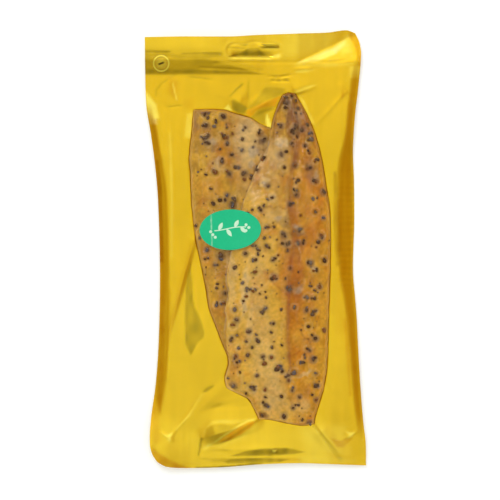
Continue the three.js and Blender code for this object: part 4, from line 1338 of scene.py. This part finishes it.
# darker and brighter reflections of the foil's facets, painted into its colour: strength, softness in mm,
# photo points
paintedFoilReflections = {
    "umber": [
        (0.55, 0.8, [(155.5, 160), (157.5, 190), (158.5, 230), (159.5, 262), (163, 262), (162.6, 230),
                     (161.8, 190), (158.5, 160)]),
        (0.4, 0.8, [(333.5, 172), (336.5, 172), (341, 232), (340.5, 266), (336, 266), (334, 230)]),
    ],
    "amber": [
        (0.8, 0.6, [(247, 110), (255, 106), (265, 101.6), (280, 96.3), (275, 106), (265, 107), (258, 109.4),
                    (253, 115.2), (249.7, 117), (246, 114)]),
        (0.75, 0.6, [(247.5, 422.3), (238.8, 427.2), (230.1, 432.1), (222.5, 437.5), (219, 442),
                     (228, 440.7), (240, 435), (250, 428), (256, 421)]),
    ],
    "orange": [
        (0.8, 0.7, [(331, 438), (341, 441), (347, 437.5), (352, 438.5), (344, 447.5), (337, 447)]),
        (0.36, 2.0, [(149, 404), (154, 404), (159, 424), (162, 440), (154, 446), (150, 436)]),
        (0.16, 1.5, [(333, 200), (341, 200), (343, 335), (336, 335)]),
        (0.1, 1.5, [(321, 196), (333, 196), (336, 315), (328, 315)]),
        (0.75, 0.8, [(350, 31), (355, 33.5), (358.5, 40), (361.5, 54), (361, 66), (358, 66), (357, 52),
                     (353.5, 42), (349.5, 38)]),
        (0.25, 1.5, [(183, 101), (192, 98), (194, 108), (185, 108)]),
        (0.5, 0.8, [(342.4, 88), (345.8, 95.4), (340.5, 99)]),
        (0.4, 0.8, [(343, 318), (347, 318), (352, 396), (349, 396)]),
        (0.35, 0.5, [(193, 240), (195, 240), (186, 275), (171, 335), (168.5, 350), (168, 330),
                     (183.5, 272)]),
        (0.7, 1.5, [(152, 446), (158, 452), (168, 459), (180, 464.5), (190, 468), (172, 470), (158, 464),
                    (151, 454)]),
        (0.4, 2.5, [(170, 79), (178, 82), (177, 99), (168, 92)]),
        (0.35, 1.0, [(270, 458.8), (300, 458), (303, 460.5), (274, 462.2)]),
        (0.5, 1.2, [(150, 105), (156, 118), (160, 160), (163.5, 240), (166, 300), (164, 370), (160, 415),
                    (157, 400), (160, 340), (158, 240), (154, 160)]),
        (0.4, 1.5, [(353, 85), (353, 140), (350, 200), (352, 290), (356, 350), (360, 420), (354, 400),
                    (346, 330), (340, 260), (338, 200), (344, 140), (348, 100)]),
    ],
    "olive": [
        (0.8, 1.0, [(231.6, 99.7), (235.6, 100), (244.4, 106), (248, 108), (245, 112.8), (240, 113.8),
                    (235, 111.3), (232.2, 108.4)]),
        (0.5, 1.2, [(249, 110), (249, 106.5), (257, 98), (264.5, 88), (272, 86.8), (285, 88.7), (284.5, 93),
                    (274, 98), (264, 102.5), (254, 107.5)]),
        (0.45, 0.8, [(258, 111.3), (265.7, 109.4), (271.5, 108), (273.9, 109.4), (270, 111.5), (266, 113.3),
                     (264.5, 124.5), (260.8, 123.4), (251, 118.6)]),
        (0.6, 0.5, [(190.5, 262), (192, 280), (193, 300), (194.5, 307), (201.6, 322), (204.5, 334),
                    (203, 338), (197, 343), (193, 352), (190.8, 355), (187.5, 349), (185.3, 344),
                    (184.8, 318), (185.5, 295), (187, 278)]),
        (0.3, 0.8, [(240, 422.5), (234.4, 424.6), (228, 424.8), (220.4, 424.3), (212.8, 425),
                    (206.3, 428.8), (205.4, 437), (214.4, 434), (220.4, 432), (228, 429.6), (236, 427)]),
        (0.65, 0.4, [(200.2, 437.5), (202.8, 438), (201.8, 445.5), (199, 455.5), (197.8, 456),
                     (198.6, 447)]),
        (0.8, 0.6, [(231, 456), (245.6, 451), (266, 448.3), (286.7, 448), (305, 452), (294, 454),
                    (272, 455.6)]),
        (0.6, 0.5, [(224, 461.5), (231, 459), (264.7, 458), (290, 459), (280.8, 461.8), (251.5, 463.3),
                    (228, 463.6)]),
        (0.8, 0.4, [(202.5, 392.4), (206, 387.9), (212, 385.2), (214, 386), (210.4, 389.5), (206, 392)]),
        (0.35, 0.9, [(145, 52), (168, 51.5), (176, 55), (200, 55.5), (222, 52.5), (222.5, 56.2), (206, 59),
                     (180, 59), (168, 57), (145, 61)]),
        (0.5, 0.4, [(144, 51.6), (171, 51.4), (170, 52.8), (144, 53)]),
        (0.5, 0.4, [(182, 53), (221, 52), (222, 55), (200, 54.6), (182, 54.6)]),
        (0.9, 0.35, [(261.6, 44.3), (279.2, 44.3), (279.6, 47.8), (265.7, 47.8)]),
        (0.7, 0.7, [(229, 57), (233, 54.6), (238, 54.2), (247.3, 49), (258.6, 49), (265, 54), (271, 56.8)]),
        (0.5, 0.5, [(229, 57), (233, 54.6), (265, 54.4), (271, 56.8)]),
        (0.5, 0.3, [(240.2, 44.4), (248.2, 44.6), (246, 46.2), (240.5, 45.8)]),
        (0.4, 0.3, [(227.9, 46.8), (245, 47.8), (244, 49.3), (228, 48.2)]),
        (0.4, 0.3, [(249.5, 48), (259.4, 47.8), (259, 49.3), (250, 49.3)]),
        (0.4, 0.3, [(271, 78), (274.5, 78), (275, 80.8), (271.5, 80.8)]),
        (0.45, 0.3, [(276.5, 79), (280.5, 79.5), (281, 82), (277, 81.8)]),
        (0.4, 0.3, [(283, 78.5), (288, 78.5), (288.5, 81.5), (284, 81.8)]),
        (0.3, 0.3, [(272, 74.8), (289.5, 74.8), (289.5, 76.3), (272, 76.3)]),
        (0.85, 0.4, [(196, 466.8), (225, 465.8), (252, 463.2), (264, 463), (252, 465.8), (225, 468),
                     (196, 469.4)]),
        (0.5, 0.35, [(243, 82.3), (243.7, 84), (236.5, 90.5), (230, 97.5), (229.3, 96), (236, 88.3)]),
        (0.28, 0.35, [(247.6, 80), (249.3, 80), (249.6, 107), (248.2, 107)]),
        (0.3, 0.35, [(190, 76.2), (213, 79), (213, 80.6), (190, 77.8)]),
        (0.4, 0.35, [(168, 106.3), (181, 104.8), (181, 106.3), (168, 107.8)]),
        (0.4, 0.35, [(156.5, 97), (155.5, 89.5), (161.5, 82.5), (168, 79), (168, 80.2), (162.6, 83.6),
                     (157, 90)]),
        (0.4, 0.35, [(312, 424), (342, 461.5), (340.5, 462), (311.5, 425)]),
        (0.3, 2.0, [(195, 60), (245, 64), (262, 70), (230, 66), (195, 64)]),
        (0.5, 1.2, [(145, 69), (200, 69.5), (258, 72), (230, 73.6), (145, 74)]),
    ],
    "glare": [
        (0.45, 1.2, [(299, 62.5), (316, 55), (334, 47.5), (345, 40), (346, 44), (336, 53), (318, 60.5)]),
        (0.4, 1.2, [(146, 95), (150, 100), (155, 110), (157, 124), (151, 124), (148, 112)]),
    ],
    "bright": [
        (0.1, 1.2, [(297.5, 62.8), (308, 59), (325, 54), (338, 46), (349, 36), (352, 40), (356, 60),
                    (345, 60.5), (330, 61)]),
        (0.5, 1.0, [(297, 63), (316, 56.5), (332, 50), (335, 54), (316, 62)]),
        (0.35, 1.0, [(350, 67), (360, 66), (360, 78), (350, 78)]),
        (0.35, 1.8, [(338, 44), (348, 34), (350, 40), (350, 52), (342, 54)]),
        (0.3, 0.8, [(169, 132), (171, 132), (173, 200), (172.5, 258), (170.5, 258), (170.5, 200)]),
        (0.5, 0.9, [(295, 71.5), (305, 69.2), (316, 69.5), (308, 72.3), (297, 72.6)]),
        (0.3, 1.5, [(294, 64), (330, 63), (356, 64), (330, 67), (296, 66)]),
        (0.45, 1.2, [(294, 92.5), (304, 87), (316, 84.5), (309, 88.5), (300, 92)]),
        (0.95, 0.4, [(228, 104.6), (232, 111), (224, 108.6)]),
        (0.95, 0.4, [(266.4, 112.4), (272.3, 127), (271.5, 129.5), (266.5, 127), (265.8, 119)]),
        (0.9, 1.2, [(145.5, 91), (150, 97), (156, 105), (159, 118), (154, 119), (149, 112), (146, 102)]),
        (0.2, 3.0, [(285, 34), (340, 31), (328, 48), (300, 56), (285, 56)]),
        (0.25, 3.0, [(300, 428), (345, 425), (350, 455), (305, 456)]),
        (0.4, 1.0, [(187, 114), (194, 112), (191.5, 139), (184.5, 137)]),
        (0.5, 0.8, [(299, 95), (304, 101), (316, 127), (312, 123)]),
        (0.03, 2.0, [(326, 165), (334, 190), (335.5, 240), (340, 300), (343, 360), (344, 410), (338, 425),
                     (330, 400), (329, 330), (331, 250), (328, 200)]),
        (0.8, 0.4, [(161.5, 433), (167, 434.6), (173, 432), (171, 438), (169, 443), (167, 437.5)]),
        (0.9, 0.4, [(346, 430.5), (350, 432.8), (355.5, 432), (351.5, 436.5), (347.5, 439.5),
                    (348.5, 434.5)]),
        (0.9, 0.3, [(271, 447.7), (274, 450.3), (277, 448.8), (275, 452.7), (273, 452)]),
        (0.3, 2.0, [(298, 457), (320, 455.5), (345, 459), (355, 461), (330, 463), (303, 461.5)]),
        (0.5, 0.4, [(264, 48.2), (280, 48.2), (280, 49.4), (265, 49.4)]),
        (0.8, 0.5, [(271.5, 56), (279, 53.4), (280.5, 55.5), (279.5, 57.2), (273, 57.4)]),
        (0.55, 0.4, [(229, 57.8), (270, 57.8), (271, 59.2), (229, 59)]),
        (0.5, 0.4, [(172, 83), (173.5, 83), (177.5, 99.8), (176, 100)]),
        (0.4, 0.4, [(201.6, 393), (203, 394), (190, 416), (176, 430.5), (174.5, 430), (187.8, 415)]),
        (0.6, 0.4, [(255, 418.6), (247.5, 419.8), (238.8, 424.8), (231.2, 429.6), (223.6, 434.4),
                    (214.5, 441.3), (214.5, 443), (224, 436.6), (231.6, 431.6), (239.2, 427), (247.8, 422),
                    (255, 420)]),
        (0.15, 1.0, [(212, 446), (228, 441), (242, 434.5), (256, 424), (259, 425.5), (244, 438),
                     (220, 448)]),
        (0.5, 0.6, [(203, 448), (208, 443.5), (213, 443.5), (209, 447.5), (203.5, 451)]),
        (0.3, 0.8, [(202.5, 437), (203, 431), (207, 425.5), (213, 421), (222, 419.5), (238, 420),
                    (234, 423.6), (221, 423), (212.5, 424), (206, 428.5), (204, 437)]),
        (0.2, 0.8, [(236, 421), (246, 418.5), (254, 418.5), (246, 421), (238, 423.5)]),
    ],
}


def shareInside(x, y, photoPoints, soft):
    outline = np.array([fromPhoto(*p) for p in photoPoints])
    return smoothStep(soft, -soft, outsideBy(outline, x, y))


def foilColours(x, y):
    # painted reflection: stretches of the gold made paler and more yellow towards the top and the bottom
    lemon = sum(strength * smoothStep(low, high, y) for strength, low, high in foil["lemonAreas"])
    fade, fadeFrom, fadeTo = foil["lemonFade"]
    lemon = lemon * (1 - fade * smoothStep(fadeFrom, fadeTo, x))
    colours = mixInto(np.tile(foilTones["gold"], (len(x), 1)), foilTones["lemon"], lemon)
    uneven = 1 + 0.35 * softNoise(x, y / 2, 3, 54)
    # painted reflections: darker and brighter patches where the foil's facets would mirror darker or brighter
    # surroundings
    for name, facets in paintedFoilReflections.items():
        for strength, soft, points in facets:
            colours = mixInto(colours, foilTones[name], strength * uneven * shareInside(x, y, points, soft))
    # painted highlight along the slot's cut and its pressed outline
    away, sx, sy = outsideSlot(x, y)
    pressed = pressedOutline(0.25, 0.5, away, sx, sy) + 0.25 * np.exp(-(away / 0.4) ** 2)
    colours = mixInto(colours, foilTones["bright"], pressed * noiseSum(x, y, [(0.5, 3, 52)], 0.7))
    return colours * (1 + 0.03 * softNoise(x, y / 8, 1.8, 53))[:, None]


def printRing(nodes, links, place, colour):
    # a small printed mark: a ring, a paler disc in it and a dark bar on the disc
    cx, cy = ringMark["centre"]
    turned = addNode(nodes, "ShaderNodeMapping", {"vector_type": "TEXTURE"}, Location=(cx * mm, cy * mm, 0),
                     Rotation=(0, 0, np.radians(ringMark["turn"])), Scale=(mm, mm, 1))
    split = addNode(nodes, "ShaderNodeSeparateXYZ")
    links.new(place, turned.inputs["Vector"])
    links.new(turned.outputs["Vector"], split.inputs["Vector"])
    x, y = split.outputs["X"], split.outputs["Y"]
    square = [mathNode(nodes, links, "MULTIPLY", axis, axis) for axis in (x, y)]
    away = mathNode(nodes, links, "SQRT", mathNode(nodes, links, "ADD", *square))
    ring = bandNode(nodes, links, away, ringMark["outer"], ringMark["line"])
    disc = bandNode(nodes, links, away, 0.0, ringMark["inner"])
    bars = [bandNode(nodes, links, axis, 0.0, half) for axis, half in zip((x, y), ringMark["bar"])]
    bar = mathNode(nodes, links, "MULTIPLY", *bars)
    faint = mathNode(nodes, links, "MULTIPLY", disc, ringMark["discStrength"])
    for share, tone in ((faint, "bright"), (ring, "bright"), (bar, "ink")):
        colour = blendNode(nodes, links, share, colour, (*foilTones[tone], 1))
    return colour


foilRows = np.interp(np.linspace(0, 1, foil["rows"]), *np.array(foil["rowStops"]).T)
makeSheet("goldBack", "back_film", backUnder, backTop, np.linspace(0, 1, foil["columns"]), foilRows,
          tintedMaterial("goldFoil", foil, printRing), foilColours)


# Oval sticker

def stemHeight(x):
    stem = sticker["stem"]
    return stem["rise"] + stem["bow"] * np.sin((x + stem["shift"]) / stem["wave"])


def stickerPrint(x, y):
    # a plain sprig: a bowed stem, leaves that are pointed ovals, and round berries
    stem, leaves, berries = sticker["stem"], sticker["leaves"], sticker["berries"]
    offStem = np.where(np.abs(x) < stem["length"], np.abs(y - stemHeight(x)), 9)
    ink = smoothStep(*stem["widths"], offStem)
    for start, turn, length in leaves["list"]:
        along, side = rotated(x - start, y - stemHeight(start), -np.radians(turn))
        width = leaves["width"] * np.sin(np.pi * clamp01(along / length)) ** leaves["point"]
        leaf = smoothStep(leaves["edge"], -leaves["edge"], np.abs(side) - width)
        ink = np.maximum(ink, leaf * (along > 0) * (along < length))
    for berryX, berryY in berries["list"]:
        ink = np.maximum(ink, smoothStep(*berries["radii"], np.hypot(x - berryX, y - berryY)))
    return ink


def stickerColours(x, y):
    # the print, and the paler crease that crosses it
    crease = np.exp(-((x - sticker["creaseAt"]) / 0.4) ** 2) * noiseSum(x, y, [(0.35, 1.2, 41)], 0.35)
    colours = np.tile(sticker["green"], (len(x), 1))
    return mixInto(colours, sticker["mint"], np.maximum(stickerPrint(x, y), crease))


def stickerFaces(rings, sectors):
    # two discs of quads with a small cap in the middle, the lower one first, and the wall between them
    i = np.arange(rings * sectors).reshape(rings, sectors)
    j = np.roll(i, -1, axis=1)
    size = rings * sectors
    top = np.stack([i[:-1], i[1:], j[1:], j[:-1]], -1).reshape(-1, 4)
    wall = np.stack([i[-1], j[-1], j[-1] + size, i[-1] + size], -1)
    caps = [i[0] + size, i[0][::-1]]
    return np.concatenate([top + size, top[:, ::-1], wall]).tolist() + [cap.tolist() for cap in caps]


def makeSticker():
    rings, sectors = sticker["rings"], sticker["sectors"]
    r, a = np.meshgrid(np.linspace(sticker["innermost"], 1, rings), np.arange(sectors) * 2 * np.pi / sectors,
                       indexing="ij")
    localX, localY = sticker["halfWidth"] * r * np.cos(a), sticker["halfHeight"] * r * np.sin(a)
    c, s = np.cos(np.radians(sticker["turn"])), np.sin(np.radians(sticker["turn"]))
    x = sticker["centre"][0] + c * localX - s * localY
    y = sticker["centre"][1] + s * localX + c * localY
    crease = np.exp(-((localX - sticker["creaseAt"]) / sticker["creaseWidth"]) ** 2)
    low = heightAt(stickerGround, x, y) + sticker["gap"] + sticker["creaseRise"] * crease
    lower = np.stack([x, y, low], -1).reshape(-1, 3)
    upper = lower + [0, 0, sticker["thickness"]]
    colours = stickerColours(localX.ravel(), localY.ravel())
    return makePiece("ovalSticker", np.concatenate([lower, upper]), stickerFaces(rings, sectors),
                     tintedMaterial("printedSticker", sticker), "sticker",
                     np.concatenate([colours, colours]), 40)


makeSticker()


# Floor, light and camera

def makeFloor():
    half = 3.0
    corners = [(-half, -half, 0), (half, -half, 0), (half, half, 0), (-half, half, 0)]
    mesh = bpy.data.meshes.new("paleFloor")
    mesh.from_pydata(corners, [], [(0, 1, 2, 3)])
    floor = bpy.data.objects.new("paleFloor", mesh)
    bpy.context.collection.objects.link(floor)
    mesh.materials.append(newMaterial("palePaper", {
        "Base Color": (0.87, 0.94, 1.0, 1),
        "Roughness": 0.9,
        "Specular IOR Level": 0.1,
        "Emission Color": (0.9, 0.92, 1.0, 1),
        "Emission Strength": 0.3,
    })[0])


sky = {
    "plain": (0.95, 0.95, 0.95, 1),
    "northSouth": [  # share of the way from straight down the pack to straight up it, and brightness
        (0.0, (0.6, 0.6, 0.58)), (0.24, (0.34, 0.33, 0.27)), (0.33, (0.62, 0.61, 0.52)),
        (0.42, (0.93, 0.93, 0.92)), (0.5, (1.0, 1.0, 1.0)), (0.6, (1.1, 1.1, 1.12)),
        (0.7, (1.45, 1.45, 1.5)), (0.82, (1.1, 1.1, 1.1)), (1.0, (0.8, 0.8, 0.8)),
    ],
    "westEast": [
        (0.0, (0.8, 0.76, 0.7)), (0.2, (0.6, 0.45, 0.12)), (0.36, (0.78, 0.68, 0.5)),
        (0.44, (1.0, 1.0, 1.0)), (0.56, (1.0, 1.0, 1.0)), (0.64, (0.7, 0.6, 0.44)),
        (0.8, (0.58, 0.4, 0.1)), (1.0, (0.8, 0.76, 0.7)),
    ],
    # below these heights of the direction: a pale surround, a little uneven
    "horizon": {"colour": (1.04, 1.04, 1.02), "heights": (0.74, 0.52), "grain": 5.0, "noise": (0.35, 0.65),
                "shades": (0.78, 1.12)},
}


def rampNode(nodes, links, share, stops):
    # the colours of the stops, eased into each other
    ramp = nodes.new("ShaderNodeValToRGB")
    ramp.color_ramp.interpolation = "EASE"
    elements = ramp.color_ramp.elements
    elements[0].position, elements[1].position = stops[0][0], stops[-1][0]
    elements[0].color, elements[1].color = (*stops[0][1], 1), (*stops[-1][1], 1)
    for place, colour in stops[1:-1]:
        elements.new(place).color = (*colour, 1)
    links.new(share, ramp.inputs["Fac"])
    return ramp.outputs["Color"]


def makeSky():
    # northSouth(y) westEast(x) of the direction looked in, even near the horizon, and plain to the camera
    world = bpy.data.worlds.new("studio")
    bpy.context.scene.world = world
    world.use_nodes = True
    nodes, links = world.node_tree.nodes, world.node_tree.links
    background = nodes["Background"]
    direction = nodes.new("ShaderNodeTexCoord").outputs["Generated"]
    split = nodes.new("ShaderNodeSeparateXYZ")
    links.new(direction, split.inputs["Vector"])
    ramps = []
    for axis, stops in (("Y", sky["northSouth"]), ("X", sky["westEast"])):
        share = rangeNode(nodes, links, split.outputs[axis], (-1, 1), (0, 1))
        ramps.append(rampNode(nodes, links, share, stops))
    product = blendNode(nodes, links, 1, *ramps, "MULTIPLY")
    horizon = sky["horizon"]
    low = rangeNode(nodes, links, split.outputs["Z"], horizon["heights"], (0, 1), "SMOOTHSTEP")
    cloud = noiseNode(nodes, links, direction, horizon["grain"], 1)
    shade = rangeNode(nodes, links, cloud, horizon["noise"], horizon["shades"])
    dome = blendNode(nodes, links, low, product, scaleNode(nodes, links, horizon["colour"], shade))
    toCamera = nodes.new("ShaderNodeLightPath").outputs["Is Camera Ray"]
    links.new(blendNode(nodes, links, toCamera, dome, sky["plain"]), background.inputs["Color"])


def makeLamp(name, place, size, power):
    # a rectangular lamp that points at the pack
    lamp = bpy.data.lights.new(name, "AREA")
    lamp.shape = "RECTANGLE"
    lamp.size, lamp.size_y = size
    lamp.energy = power
    item = bpy.data.objects.new(name, lamp)
    item.location = place
    item.rotation_euler = (-Vector(place)).to_track_quat("-Z", "Y").to_euler()
    bpy.context.collection.objects.link(item)


def makeCamera():
    camera = bpy.data.cameras.new("overhead")
    item = bpy.data.objects.new("overhead", camera)
    bpy.context.collection.objects.link(item)
    distance, sensor = 1.6, 36
    shownWidth = photoScale["pixels"] * photoScale["mmPerPixel"] * mm
    camera.sensor_width = sensor
    camera.lens = sensor * distance / shownWidth
    camera.clip_start, camera.clip_end = 0.05, 20
    cx, cy = fromPhoto(photoScale["pixels"] / 2, photoScale["pixels"] / 2)
    item.location = (cx * mm, cy * mm, distance + border["lift"] * mm)
    bpy.context.scene.camera = item


makeFloor()
makeSky()
makeLamp("keyPanel", (-0.45, 0.75, 1.1), (0.4, 0.6), 3.4)
makeLamp("fillPanel", (0.55, -0.7, 0.75), (0.16, 0.26), 0.45)
makeCamera()
bpy.context.scene.view_settings.view_transform = "Standard"
